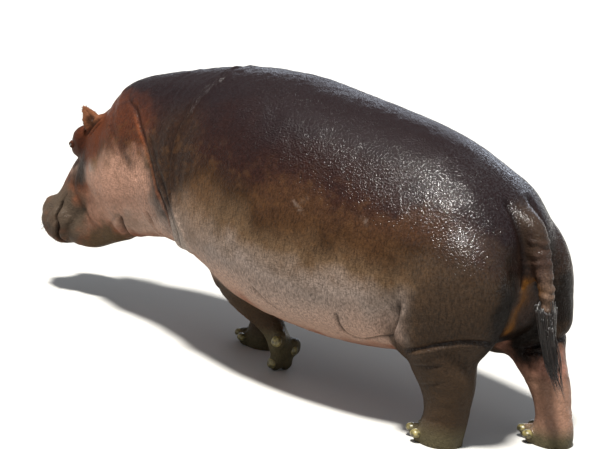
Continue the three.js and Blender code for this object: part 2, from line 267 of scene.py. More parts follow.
TRUNK = [
    Hoop(1310, 900, 640, 150, 760, 2.0),
    Hoop(1280, 1020, 520, 290, 760, 2.0),
    Hoop(1210, 1108, 455, 370, 765, 2.0),
    Hoop(1100, 1190, 415, 425, 760, 2.1),
    Hoop(950, 1264, 360, 475, 740, 2.1),
    Hoop(760, 1328, 300, 520, 710, 2.1),
    Hoop(480, 1376, 262, 565, 690, 2.1),
    Hoop(180, 1408, 268, 575, 700, 2.2),
    Hoop(-130, 1438, 300, 545, 740, 2.2),
    Hoop(-400, 1428, 350, 480, 780, 2.1),
    Hoop(-620, 1386, 452, 405, 810, 2.1),
    Hoop(-820, 1338, 462, 345, 800, 2.1),
    Hoop(-1000, 1286, 430, 315, 780, 2.1),
    Hoop(-1140, 1240, 400, 290, 780, 2.1),
    Hoop(-1240, 1188, 450, 240, 800, 2.0),
    Hoop(-1300, 1065, 620, 150, 840, 2.0),
]
SKULL = [
    Hoop(170, 95, -120, 110, -30, 2.0),
    Hoop(90, 170, -190, 200, -50, 2.1),
    Hoop(-30, 174, -220, 238, -60, 2.2),
    Hoop(-150, 168, -215, 228, -80, 2.2),
    Hoop(-260, 148, -195, 192, -80, 2.2),
    Hoop(-350, 156, -165, 160, -60, 2.3),
    Hoop(-440, 136, -150, 148, -40, 2.4),
    Hoop(-530, 104, -150, 160, -40, 2.6),
    Hoop(-610, 92, -160, 190, -45, 2.8),
    Hoop(-668, 86, -158, 196, -45, 2.8),
    Hoop(-704, 58, -140, 174, -40, 2.6),
    Hoop(-724, 5, -100, 126, -45, 2.4),
]
JAW = [
    Hoop(80, -90, -330, 200, -200, 2.1),
    Hoop(-40, -70, -385, 226, -200, 2.1),
    Hoop(-160, -60, -405, 228, -200, 2.1),
    Hoop(-280, -60, -400, 196, -200, 2.2),
    Hoop(-390, -60, -372, 150, -190, 2.3),
    Hoop(-480, -60, -325, 132, -180, 2.4),
    Hoop(-550, -70, -282, 146, -170, 2.4),
    Hoop(-610, -80, -238, 142, -160, 2.4),
    Hoop(-650, -100, -196, 112, -150, 2.2),
]
BODY_SWELLINGS = {
    "haunch": Swelling((1005, 250, 685), (358, 222, 372)),
    "shoulder": Swelling((-445, 245, 850), (232, 180, 310)),
}
HEAD_SWELLINGS = {
    "cheek": Swelling((-100, 160, -140), (180, 98, 190)),
    "brow": Swelling((-200, 118, 150), (94, 58, 66)),
    "ear_root": Swelling((0, 138, 108), (52, 44, 50)),
    "nostril": Swelling((-632, 96, 64), (80, 56, 46)),
    "lip": Swelling((-618, 138, -58), (104, 66, 84)),
}
LEGS = {
    "hindleg_left": [
        Girth((1020, -255, 720), 190, 150),
        Girth((1050, -275, 580), 200, 160),
        Girth((1072, -285, 450), 170, 152),
        Girth((1102, -282, 350), 148, 130),
        Girth((1134, -275, 240), 122, 106),
        Girth((1140, -270, 130), 104, 98),
        Girth((1128, -270, 50), 104, 108),
        Girth((1128, -270, -30), 100, 104),
    ],
    "hindleg_right": [
        Girth((1060, 255, 720), 190, 150),
        Girth((1130, 258, 580), 195, 158),
        Girth((1205, 250, 460), 168, 134),
        Girth((1288, 230, 350), 120, 106),
        Girth((1370, 210, 240), 94, 96),
        Girth((1412, 195, 130), 82, 90),
        Girth((1425, 190, 50), 96, 102),
        Girth((1425, 190, -30), 94, 98),
    ],
    "foreleg_right": [
        Girth((-500, 290, 720), 165, 118),
        Girth((-495, 290, 560), 155, 120),
        Girth((-455, 265, 430), 130, 115),
        Girth((-395, 225, 310), 102, 98),
        Girth((-335, 178, 200), 84, 88),
        Girth((-308, 150, 130), 84, 92),
        Girth((-300, 138, 50), 96, 102),
        Girth((-300, 138, -30), 94, 98),
    ],
    "foreleg_left": [
        Girth((-420, -290, 740), 150, 115),
        Girth((-362, -305, 610), 120, 115),
        Girth((-278, -298, 505), 98, 105),
        Girth((-196, -262, 408), 84, 92),
        Girth((-122, -208, 315), 76, 80),
        Girth((-45, -158, 242), 64, 70),
        Girth((-2, -130, 172), 52, 66),
        Girth((18, -112, 105), 46, 68),
        Girth((24, -106, 62), 34, 54),
    ],
}
TAIL = [
    Girth((1100, 0, 1035), 66, 70),
    Girth((1205, 0, 1032), 70, 74),
    Girth((1286, 0, 985), 70, 72),
    Girth((1334, 0, 900), 59, 58),
    Girth((1382, 0, 795), 50, 50),
    Girth((1410, 0, 700), 44, 44),
    Girth((1424, 0, 630), 36, 38),
    Girth((1440, 0, 565), 24, 26),
]


@dataclass(frozen=True)
class ToePlace:
    """Where a toe's middle is, how far it turns aside, and how far it points down, in degrees."""

    at: tuple[float, float, float]
    turn: float
    pitch: float
    nail: tuple[float, float, float] = (-34.0, 0.0, 10.0)


TOE_SIZE = (50.0, 32.0, 40.0)
TOE_HEIGHT = 32.0
TOE_FORWARD = 12.0
TOE_FAN = [(-62.0, 82.0), (-21.0, 96.0), (21.0, 96.0), (62.0, 82.0)]
NAIL_SIZE = (26.0, 27.0, 20.0)
RAISED_TOES = [
    ToePlace((54, -170, 176), 85, 72, (-16, 0, 25)),
    ToePlace((16, -138, 48), 68, 80, (-12, 0, 24)),
    ToePlace((28, -84, 44), -4, 80, (-12, 0, 22)),
    ToePlace((46, -50, 118), 110, 80, (-14, 0, 20)),
]


def fan_of_toes(sole: tuple[float, float, float]) -> list[ToePlace]:
    """Give the places of the four toes round the sole of a standing foot.

    Args:
        sole: middle of the sole.

    Returns:
        The toes' places, from the right-hand one round to the left-hand one.
    """
    places = []
    for turn, reach in TOE_FAN:
        angle = math.radians(turn)
        x = sole[0] - (TOE_FORWARD + math.cos(angle) * reach)
        y = sole[1] + math.sin(angle) * reach
        places.append(ToePlace((x, y, TOE_HEIGHT), -turn, 0.0))
    return places


def toes_of(leg: str) -> list[ToePlace]:
    """Give the places of a leg's toes."""
    return RAISED_TOES if leg == "foreleg_left" else fan_of_toes(LEGS[leg][-1].at)


def toe_matrix(place: ToePlace) -> Matrix:
    """Give the matrix that puts a toe's own shape, in millimetres, in its place in the scene."""
    move = Matrix.Translation(Vector(placed(np.array(place.at))))
    aside = Matrix.Rotation(math.radians(place.turn), 4, "Z")
    turn = aside @ Matrix.Rotation(math.radians(-place.pitch), 4, "Y")
    return move @ turn @ Matrix.Scale(MM, 4)


class Forms:
    """Gathers closed forms in one mesh, before they become one skin."""

    AROUND = 64
    AROUND_LIMB = 32
    STEPS = 6
    DOME = (0.5, 0.82, 0.97)
    DOME_HEIGHT = 0.12
    MERGE = 1e-6
    SQUARE_WEIGHT = 100.0
    SWELLING_CUTS = 5
    TOE_CUTS = 4

    def __init__(self) -> None:
        """Start with an empty mesh."""
        self.bm = bmesh.new()

    def tube(self, rings: np.ndarray) -> None:
        """Wrap a grid round a row of rings and close both its ends with low domes.

        Args:
            rings: points of each ring in turn, in metres.
        """
        first, last = self._dome(rings[0], rings[1])[::-1], self._dome(rings[-1], rings[-2])
        rings = np.concatenate([first, rings, last])
        rings = np.concatenate([rings, rings[:, :1]], axis=1)
        rows, columns = rings.shape[:2]
        made = bmesh.ops.create_grid(
            self.bm, x_segments=columns - 1, y_segments=rows - 1, size=1.0
        )["verts"]
        order = sorted(made, key=lambda v: (round(v.co.y, 5), round(v.co.x, 5)))
        for vert, place in zip(order, rings.reshape(-1, 3), strict=True):
            vert.co = place
        bmesh.ops.remove_doubles(self.bm, verts=made, dist=self.MERGE)
        made = [v for v in made if v.is_valid]
        rims = [e for v in made for e in v.link_edges if e.is_boundary]
        bmesh.ops.holes_fill(self.bm, edges=list(set(rims)), sides=0)
        faces = list({f for v in made for f in v.link_faces})
        bmesh.ops.recalc_face_normals(self.bm, faces=faces)

    def _dome(self, end: np.ndarray, before: np.ndarray) -> np.ndarray:
        """Give the ever smaller rings of a low dome over the end of a tube."""
        middle = end.mean(axis=0)
        way = middle - before.mean(axis=0)
        way /= np.linalg.norm(way)
        height = self.DOME_HEIGHT * np.linalg.norm(end - middle, axis=1).mean()
        rings = []
        for share in self.DOME:
            rings.append(middle + (end - middle) * math.sqrt(1 - share**2) + way * height * share)
        return np.array(rings)

    def barrel(self, hoops: list[Hoop], in_head: bool = False) -> None:
        """Add a form that runs along X through its hoops."""
        weight = self.SQUARE_WEIGHT
        sizes = [[h.x, h.top, h.bottom, h.half_width, h.widest, h.square * weight] for h in hoops]
        angles = np.arange(self.AROUND) * 2 * math.pi / self.AROUND
        rings = []
        for x, top, bottom, half_width, widest, square in through(np.array(sizes), self.STEPS):
            power = 2 * weight / square
            across, up = [np.sign(v) * np.abs(v) ** power for v in (np.cos(angles), np.sin(angles))]
            reach = np.where(up > 0, top - widest, widest - bottom)
            ring = [np.full_like(angles, x), across * half_width, widest + up * reach]
            rings.append(np.stack(ring, axis=-1))
        points = np.array(rings)
        self.tube(placed(head_to_body(points) if in_head else points))

    def limb(self, girths: list[Girth]) -> None:
        """Add a form that runs through the middles of its girths, each square to its way."""
        rows = through(np.array([[*g.at, g.deep, g.wide] for g in girths]), self.STEPS)
        angles = np.arange(self.AROUND_LIMB) * 2 * math.pi / self.AROUND_LIMB
        ways = np.gradient(rows[:, :3], axis=0)
        ways /= np.linalg.norm(ways, axis=1)[:, None]
        rings = []
        for (x, y, z, deep, wide), way in zip(rows, ways, strict=True):
            back = np.cross(way, [0.0, 1.0, 0.0])
            back /= np.linalg.norm(back)
            aside = np.cross(back, way)
            ring = np.outer(np.cos(angles) * wide, aside) + np.outer(np.sin(angles) * deep, back)
            rings.append(ring + [x, y, z])
        self.tube(placed(np.array(rings)))

    def swelling(self, form: Swelling, side: int, in_head: bool = False) -> None:
        """Add one rounded form on one side of the body or head."""
        cuts = self.SWELLING_CUTS
        made = bmesh.ops.create_icosphere(self.bm, subdivisions=cuts, radius=1.0)["verts"]
        middle = [form.at[0], form.at[1] * side, form.at[2]]
        local = np.array([v.co for v in made]) * form.size + middle
        places = placed(head_to_body(local) if in_head else local)
        for vert, place in zip(made, places, strict=True):
            vert.co = place

    def toe(self, place: ToePlace) -> None:
        """Add one toe."""
        cuts = self.TOE_CUTS
        made = bmesh.ops.create_icosphere(self.bm, subdivisions=cuts, radius=1.0)["verts"]
        matrix = toe_matrix(place) @ Matrix.Diagonal((*TOE_SIZE, 1.0))
        bmesh.ops.transform(self.bm, matrix=matrix, verts=made)

    def ear(self, ear: "EarShape", side: int) -> None:
        """Add one ear: a cupped leaf whose root lies in the head."""
        self.tube(placed(head_to_body(ear.rings(side))))

    def mesh(self) -> bpy.types.Mesh:
        """Give the gathered forms as a mesh."""
        return mesh_of(self.bm, "forms")


@dataclass(frozen=True)
class EarShape:
    """The cupped leaf of an ear, for the right side, in the head's frame, in millimetres."""

    root: tuple[float, float, float] = (-42.0, 132.0, 104.0)
    tip: tuple[float, float, float] = (4.0, 192.0, 236.0)
    back: tuple[float, float, float] = (0.75, 0.5, -0.3)
    half_width: float = 52.0
    thickness: float = 12.0
    rim: float = 0.4
    cup: float = 26.0
    around: int = 32
    steps: int = 5
    # How far up the leaf, and how wide it is there as a share of its full width.
    outline: tuple[tuple[float, float], ...] = (
        (0, 0.85), (0.25, 1), (0.5, 0.88), (0.72, 0.62), (0.89, 0.34), (1, 0.1)
    )

    def rings(self, side: int) -> np.ndarray:
        """Give the rings of the leaf from its root to its tip, in millimetres."""
        mirror = np.array([1.0, side, 1.0])
        root, tip, back = (np.array(each) * mirror for each in (self.root, self.tip, self.back))
        way = (tip - root) / np.linalg.norm(tip - root)
        aside = np.cross(back, way)
        aside /= np.linalg.norm(aside)
        back = np.cross(way, aside)
        angles = np.arange(self.around) * 2 * math.pi / self.around
        across, up = np.cos(angles), np.sin(angles)
        rings = []
        for along, width in through(np.array(self.outline), self.steps):
            depth = up * self.thickness * (self.rim + (1 - self.rim) * width)
            depth = depth - self.cup * width * across**2
            ring = root + (tip - root) * along + np.outer(across * self.half_width * width, aside)
            rings.append(ring + np.outer(depth, back))
        return np.array(rings)


# ------------ materials


def add_node(
    tree: Tree, kind: str, settings: dict | None = None, **links: object
) -> bpy.types.Node:
    """Add a node to a material, with its settings and what feeds it.

    Args:
        tree: the material's node tree.
        kind: the node's type, without the words that all of them start with.
        settings: values of the node's own properties.
        links: for each input, an output socket that feeds it or a plain value. An underscore
            stands for a space in the input's name, and a name such as in_0 picks it by place.

    Returns:
        The new node.
    """
    node = tree.nodes.new(f"ShaderNode{kind}")
    for name, value in (settings or {}).items():
        setattr(node, name, value)
    for name, value in links.items():
        key = int(name[3:]) if name.startswith("in_") else name.replace("_", " ")
        if isinstance(value, Socket):
            tree.links.new(value, node.inputs[key])
        else:
            node.inputs[key].default_value = value
    return node


def blank_material(name: str) -> tuple[bpy.types.Material, Tree, bpy.types.Node]:
    """Start a material with only its shader and output.

    Args:
        name: the real stuff's name.

    Returns:
        The material, its node tree and its shader node.
    """
    material = bpy.data.materials.new(name)
    material.use_nodes = True
    tree = material.node_tree
    tree.nodes.clear()
    shader = add_node(tree, "BsdfPrincipled")
    add_node(tree, "OutputMaterial", None, Surface=shader.outputs["BSDF"])
    return material, tree, shader


@dataclass(frozen=True)
class WetHide:
    """Wet hippopotamus skin: thick, almost hairless, finely cracked, with a film of water.

    Sizes are in millimetres, and each depth is how far the pattern seems to rise.
    """

    speck_mm: float = 14.0
    streak_mm: tuple[float, float] = (8.0, 24.0)
    streak_depth_mm: float = 6.0
    crack_mm: float = 9.0
    crack_depth_mm: float = 4.0
    bead_mm: float = 9.0
    bead_depth_mm: float = 5.5
    blotch_mm: float = 48.0
    # The parts of each pattern, from 0 to 1, over which it comes in.
    shade_range: tuple[float, float] = (0.32, 0.68)
    blotch_range: tuple[float, float] = (0.5, 0.66)
    film_range: tuple[float, float] = (0.45, 0.57)
    dull_range: tuple[float, float] = (0.3, 0.7)
    # A red-brown sweat stain, and the skin's own roughness from its smoothest to its dullest.
    stain: str = "4F3620"
    roughness: tuple[float, float] = (0.42, 0.62)
    specular: float = 0.06
    # The film is broken: it is thinnest between the beads of water, and water is smooth.
    thinnest_film: float = 0.12
    film_roughness: float = 0.14
    film_ior: float = 1.48

    def material(self) -> bpy.types.Material:
        """Make the material. Its colour is the skin's own tone, broken up by specks and streaks."""
        material, tree, shader = blank_material("wet_hippopotamus_hide")
        coords = add_node(tree, "TexCoord").outputs["Object"]
        masks = add_node(tree, "Attribute", {"attribute_name": "hide_masks"}).outputs
        specks = add_node(
            tree, "TexNoise", None, Vector=coords, Scale=1.0 / (self.speck_mm * MM),
            Detail=3.0, Roughness=0.6,
        ).outputs["Fac"]
        across, along = (1.0 / (size * MM) for size in self.streak_mm)
        long_way = add_node(
            tree, "Mapping", None, Vector=coords, Scale=(across, across, along)
        ).outputs[0]
        streaks = add_node(
            tree, "TexNoise", None, Vector=long_way, Scale=1.0, Detail=3.0, Roughness=0.62
        ).outputs["Fac"]
        colour = self._colour(tree, coords, masks, specks, streaks)
        tree.links.new(colour, shader.inputs["Base Color"])
        low, high = self.dull_range
        smooth, dull = self.roughness
        rough = add_node(
            tree, "MapRange", {"clamp": True}, Value=specks,
            From_Min=low, From_Max=high, To_Min=smooth, To_Max=dull,
        ).outputs[0]
        tree.links.new(rough, shader.inputs["Roughness"])
        shader.inputs["Specular IOR Level"].default_value = self.specular
        relief = self._relief(tree, coords, streaks)
        tree.links.new(relief, shader.inputs["Normal"])
        self._wet(tree, shader, coords, relief, masks["Alpha"])
        return material

    def _colour(
        self, tree: Tree, coords: Socket, masks: dict[str, Socket], specks: Socket, streaks: Socket
    ) -> Socket:
        """Break the skin's tone up by its specks, streaks and stains.

        Args:
            tree: the material's nodes.
            coords: the place on the skin.
            masks: how much of each the skin has at a place.
            specks: the fine round pattern.
            streaks: the pattern that is longer up and down.

        Returns:
            The colour.
        """
        mask = add_node(tree, "SeparateColor", None, Color=masks["Color"]).outputs
        tone = add_node(tree, "Attribute", {"attribute_name": "hide_tone"}).outputs["Color"]
        both = add_node(
            tree, "Mix", {"data_type": "FLOAT"}, in_0=mask["Green"], in_2=specks, in_3=streaks
        ).outputs[0]
        low, high = self.shade_range
        shade = add_node(
            tree, "MapRange", {"clamp": True}, Value=both,
            From_Min=low, From_Max=high, To_Min=-1.0, To_Max=1.0,
        ).outputs[0]
        amount = add_node(
            tree, "Math", {"operation": "MULTIPLY"}, in_0=shade, in_1=mask["Red"]
        ).outputs[0]
        factor = add_node(tree, "Math", {"operation": "ADD"}, in_0=amount, in_1=1.0).outputs[0]
        colour = add_node(
            tree, "VectorMath", {"operation": "SCALE"}, in_0=tone, Scale=factor
        ).outputs[0]
        blotches = add_node(
            tree, "TexNoise", None, Vector=coords, Scale=1.0 / (self.blotch_mm * MM),
            Detail=4.0, Roughness=0.65,
        ).outputs["Fac"]
        low, high = self.blotch_range
        rust = add_node(
            tree, "MapRange", {"clamp": True}, Value=blotches, From_Min=low, From_Max=high
        ).outputs[0]
        rusty = add_node(
            tree, "Math", {"operation": "MULTIPLY"}, in_0=rust, in_1=mask["Blue"]
        ).outputs[0]
        return add_node(
            tree, "Mix", {"data_type": "RGBA"}, in_0=rusty, in_6=colour, in_7=linear(self.stain)
        ).outputs[2]

    def _relief(self, tree: Tree, coords: Socket, streaks: Socket) -> Socket:
        """Give the skin its net of fine cracks and its upright ripples.

        Args:
            tree: the material's nodes.
            coords: the place on the skin.
            streaks: the pattern that is longer up and down.

        Returns:
            The way the surface faces.
        """
        cracks = add_node(
            tree, "TexVoronoi", {"feature": "SMOOTH_F1"}, Vector=coords,
            Scale=1.0 / (self.crack_mm * MM), Smoothness=0.4,
        ).outputs["Distance"]
        fine = add_node(
            tree, "Bump", None, Height=cracks, Strength=0.5, Distance=self.crack_depth_mm * MM
        ).outputs[0]
        return add_node(
            tree, "Bump", None, Height=streaks, Strength=0.3,
            Distance=self.streak_depth_mm * MM, Normal=fine,
        ).outputs[0]

    def _wet(
        self, tree: Tree, shader: bpy.types.Node, coords: Socket, relief: Socket, wetness: Socket
    ) -> None:
        """Lay a beaded film of water over the skin, where it is wet.

        Args:
            tree: the material's nodes.
            shader: its shader.
            coords: the place on the skin.
            relief: the way the skin under the film faces.
            wetness: how wet the skin is at a place.
        """
        grains = add_node(
            tree, "TexNoise", None, Vector=coords, Scale=1.0 / (self.bead_mm * MM),
            Detail=2.0, Roughness=0.7,
        ).outputs["Fac"]
        beads = add_node(
            tree, "Bump", None, Height=grains, Strength=0.5,
            Distance=self.bead_depth_mm * MM, Normal=relief,
        ).outputs[0]
        tree.links.new(beads, shader.inputs["Coat Normal"])
        low, high = self.film_range
        film = add_node(
            tree, "MapRange", {"clamp": True}, Value=grains,
            From_Min=low, From_Max=high, To_Min=self.thinnest_film, To_Max=1.0,
        ).outputs[0]
        wet = add_node(
            tree, "Math", {"operation": "MULTIPLY"}, in_0=film, in_1=wetness
        ).outputs[0]
        tree.links.new(wet, shader.inputs["Coat Weight"])
        shader.inputs["Coat Roughness"].default_value = self.film_roughness
        shader.inputs["Coat IOR"].default_value = self.film_ior


# ------------ folds, hollows and tones


@dataclass(frozen=True)
class Fold:
    """A groove that runs over the skin, with a raised lip before or behind it, and painted shade.

    Points are in millimetres, on the left side. The lip ahead of a fold that runs down is the
    one nearer the head.
    """

    points: tuple[tuple[float, float, float], ...]
    depth: float
    width: float
    ahead: float = 0.0
    behind: float = 0.0
    sharp: float = 1.5
    fade: float = 60.0
    in_head: bool = False
    both_sides: bool = True
    # As shares of its width: how far it changes the skin, where its lips are, how wide they
    # are, and how wide its painted shade is. A fold of the depth DARKEST is shaded darkest.
    REACH = 4.5
    LIP_AT = 1.7
    LIP_WIDTH = 1.1
    DARK_WIDTH = 0.55
    DARKEST = 14.0
    WOBBLE = 0.25
    WOBBLE_SIZE = 70.0

    def reach(self) -> float:
        """Give how far from its path the fold changes the skin."""
        return self.width * self.REACH


FOLDS = {
    "nape": Fold(
        ((-1225, -60, 1122), (-1190, -150, 1085), (-1132, -248, 1008), (-1064, -285, 941),
         (-975, -314, 869), (-884, -332, 803)),
        3, 24, behind=4,
    ),
    "behind_jaw": Fold(
        ((-1140, 0, 1205), (-1125, -90, 1186), (-1080, -190, 1135), (-989, -238, 1108),
         (-900, -290, 1042), (-818, -327, 970), (-733, -367, 890), (-657, -391, 807),
         (-589, -408, 733), (-547, -407, 667), (-530, -380, 575), (-545, -250, 470),
         (-560, -100, 425)),
        11, 15, ahead=2, behind=3, sharp=1.3, fade=420,
    ),
    "neck_roll": Fold(
        ((-843, -305, 1040), (-717, -362, 943), (-639, -396, 862), (-575, -417, 793),
         (-505, -430, 685), (-468, -415, 595), (-460, -370, 520)),
        8, 20, ahead=2, behind=4,
    ),
    "shoulder": Fold(
        ((-545, 0, 1408), (-534, -108, 1381), (-504, -194, 1351), (-523, -227, 1319),
         (-532, -262, 1290), (-547, -291, 1249), (-558, -316, 1208), (-560, -348, 1155),
         (-570, -371, 1090), (-569, -397, 1013), (-561, -415, 926), (-532, -432, 834),
         (-497, -443, 758), (-459, -444, 682), (-409, -445, 618), (-369, -430, 566)),
        11, 14, behind=11, sharp=1.3,
    ),
    "cheek_front": Fold(
        ((-1440, -150, 815), (-1471, -140, 750), (-1480, -137, 680), (-1486, -133, 605),
         (-1452, -135, 542), (-1388, -137, 470), (-1304, -140, 425), (-1228, -124, 408)),
        4, 20, behind=4, sharp=2.0,
    ),
    "under_cheek": Fold(
        ((-1018, -262, 574), (-1097, -221, 519), (-1190, -160, 450), (-1230, -90, 395)),
        4, 16, behind=3,
    ),
    "throat_front": Fold(
        ((-1023, -256, 561), (-1062, -193, 482), (-1100, -110, 425), (-1120, 20, 405)),
        32, 20, ahead=10, behind=12, sharp=1.3,
    ),
    "throat_back": Fold(
        ((-805, -320, 640), (-768, -285, 560), (-768, -190, 500), (-772, -80, 468),
         (-775, 20, 460)),
        30, 19, ahead=10, behind=10, sharp=1.3,
    ),
    "flank": Fold(
        ((946, -470, 680), (938, -462, 640), (933, -456, 597), (924, -450, 552),
         (900, -425, 501), (888, -400, 455), (900, -340, 400)),
        42, 20, behind=16, sharp=1.2, fade=130,
    ),
    "belly": Fold(
        ((626, -501, 531), (611, -447, 453), (615, -385, 395), (655, -348, 378),
         (759, -360, 400), (860, -385, 440), (900, -400, 470)),
        12, 15, ahead=3, behind=5, sharp=1.3,
    ),
    "elbow": Fold(
        ((110, -530, 535), (133, -521, 510), (163, -509, 488), (199, -487, 455),
         (245, -463, 425), (300, -440, 400)),
        8, 14, behind=3,
    ),
    "hock_upper": Fold(
        ((960, -380, 415), (979, -400, 419), (1044, -430, 442), (1108, -432, 468),
         (1176, -406, 502), (1245, -370, 528), (1290, -310, 534), (1300, -240, 530)),
        15, 12, ahead=11, sharp=1.3, both_sides=False,
    ),
    "hock_middle": Fold(
        ((1010, -390, 352), (1065, -413, 366), (1129, -412, 380), (1186, -384, 400)),
        8, 9, behind=3, sharp=1.2, both_sides=False,
    ),
    "hock_lower": Fold(
        ((1040, -375, 262), (1084, -389, 274), (1146, -389, 300), (1190, -370, 312)),
        5, 9, behind=2, both_sides=False,
    ),
    "beside_tail": Fold(
        ((1150, -82, 1120), (1199, -88, 1103), (1235, -90, 1060), (1262, -86, 1000),
         (1290, -76, 930), (1305, -66, 860), (1310, -60, 780), (1300, -60, 700)),
        20, 24, behind=4, sharp=1.4,
    ),
    "far_hock": Fold(
        ((1200, 80, 380), (1260, 110, 400), (1330, 125, 420), (1390, 160, 430)),
        8, 12, both_sides=False,
    ),
    "under_ham": Fold(
        ((1205, 90, 395), (1255, 110, 420), (1305, 140, 445), (1355, 190, 468),
         (1385, 250, 482), (1380, 310, 492), (1330, 370, 500), (1250, 410, 500)),
        22, 16, sharp=1.3, both_sides=False,
    ),
    "ear_middle": Fold(
        ((-38, -136, 112), (-25, -152, 150), (-12, -170, 186), (-2, -184, 218)),
        6, 8, sharp=1.5, fade=25, in_head=True,
    ),
    "ear_base": Fold(
        ((-95, -152, 108), (-60, -176, 116), (-10, -178, 114), (35, -155, 108)),
        9, 9, ahead=4, behind=4, fade=25, in_head=True,
    ),
    "ear_base_lower": Fold(
        ((-80, -170, 82), (-45, -190, 88), (0, -190, 88), (40, -170, 84)),
        6, 8, ahead=3, behind=3, fade=25, in_head=True,
    ),
    "chest": Fold(
        ((-200, -380, 470), (-230, -300, 390), (-250, -150, 330), (-255, 0, 318)),
        6, 18,
    ),
}


@dataclass(frozen=True)
class Mound:
    """A soft rise, or a hollow where its height is negative, in millimetres."""

    at: tuple[float, float, float]
    size: tuple[float, float, float]
    height: float
    both_sides: bool = True


MOUNDS = {
    "flank_hollow": Mound((868, -440, 530), (66, 90, 100), -34),
    "flank_hollow_above": Mound((900, -480, 760), (90, 90, 160), -10),
    "knee": Mound((985, -420, 500), (70, 90, 90), 24),
    "thigh": Mound((1150, -420, 620), (150, 120, 130), 8),
    "hip": Mound((1090, -300, 1110), (130, 120, 90), 10),
    "loin_hollow": Mound((800, -380, 1130), (170, 120, 120), -9),
    "shoulder_blade": Mound((-380, -380, 1080), (120, 120, 190), 9),
    "behind_shoulder": Mound((-170, -500, 900), (90, 120, 260), -8),
    "neck_roll": Mound((-640, -370, 930), (60, 80, 260), 8),
    "throat_lobe": Mound((-930, -190, 470), (80, 120, 90), 22),
    "dewlap": Mound((-480, -350, 540), (75, 110, 60), 26),
    "chest_front": Mound((-405, -370, 445), (120, 140, 85), -62),
    "throat_rear_lobe": Mound((-670, -290, 545), (62, 110, 70), 22),
    "right_ham": Mound((1345, 275, 555), (90, 110, 90), 40, both_sides=False),
    "belly_fold": Mound((760, -400, 470), (130, 60, 50), 8),
    "above_heel": Mound((1230, -290, 330), (60, 90, 120), 24, both_sides=False),
    "perineum": Mound((1330, 0, 640), (90, 60, 170), -26, both_sides=False),
}
HEAD_MOUNDS = {
    "temple": Mound((-120, 210, 20), (90, 90, 70), -9),
    "behind_eye": Mound((-150, 176, 110), (38, 60, 40), -5),
    "above_eye": Mound((-118, 128, 150), (72, 60, 50), 30),
    "below_eye": Mound((-290, 150, 60), (60, 50, 50), -8),
    "jaw_angle": Mound((-130, 200, -240), (110, 90, 90), 12),
    "chin": Mound((-590, 0, -240), (60, 120, 50), 6),
}


class Tone(Enum):
    """Colours of the wet skin, and of the shade and sheen painted on it."""

    BACK = "180E0F"
    UPPER_FLANK = "24120D"
    MID_FLANK = "564331"
    FLANK = "2D1D0F"
    RUST = "48301C"
    LOW_FLANK = "82736A"
    BELLY = "957A6B"
    UNDERSIDE = "74432C"
    NECK = "241710"
    CHEEK = "93705F"
    TEMPLE = "4A2616"
    EAR = "704831"
    MUZZLE = "453A30"
    CHIN = "4A3B2A"
    THIGH = "30241A"
    SHANK = "35281C"
    PINK_SHANK = "8E6353"
    MAUVE = "80604F"
    OCHRE = "6A4316"
    FOOT = "4A4331"
    # Painted sheen, lighter grey where the lower chest catches the light.
    PAINTED_SHEEN = "8F857D"
    # Painted shade for creases and the mouth's slit.
    CREASE_SHADE = "110908"
    TAIL = "362720"
    RIM = "7A4428"
    BROW = "3C1E13"
    SHADOW = "0C0603"
    TAN = "7A6352"
    SCAR = "887A70"

    def rgb(self) -> np.ndarray:
        """Give the tone's linear red, green and blue."""
        return np.array(linear(self.value)[:3])


def ramp(tones: list[tuple[float, Tone]], at: np.ndarray) -> np.ndarray:
    """Give the colour of each value between the levels of some tones.

    Args:
        tones: rising levels and the tone at each.
        at: the values.

    Returns:
        Linear red, green and blue for each value.
    """
    levels = [level for level, _ in tones]
    rows = np.array([tone.rgb() for _, tone in tones])
    return np.stack([np.interp(at, levels, rows[:, k]) for k in range(3)], axis=-1)


@dataclass(frozen=True)
class Patch:
    """A soft-edged place of one tone: middle, half sizes in millimetres, and how far it covers."""

    tone: Tone
    at: tuple[float, float, float]
    size: tuple[float, float, float]
    cover: float = 1.0
    both_sides: bool = True
    # Where its edge starts and ends, as shares of its half sizes.
    EDGE = (1.4, 0.5)


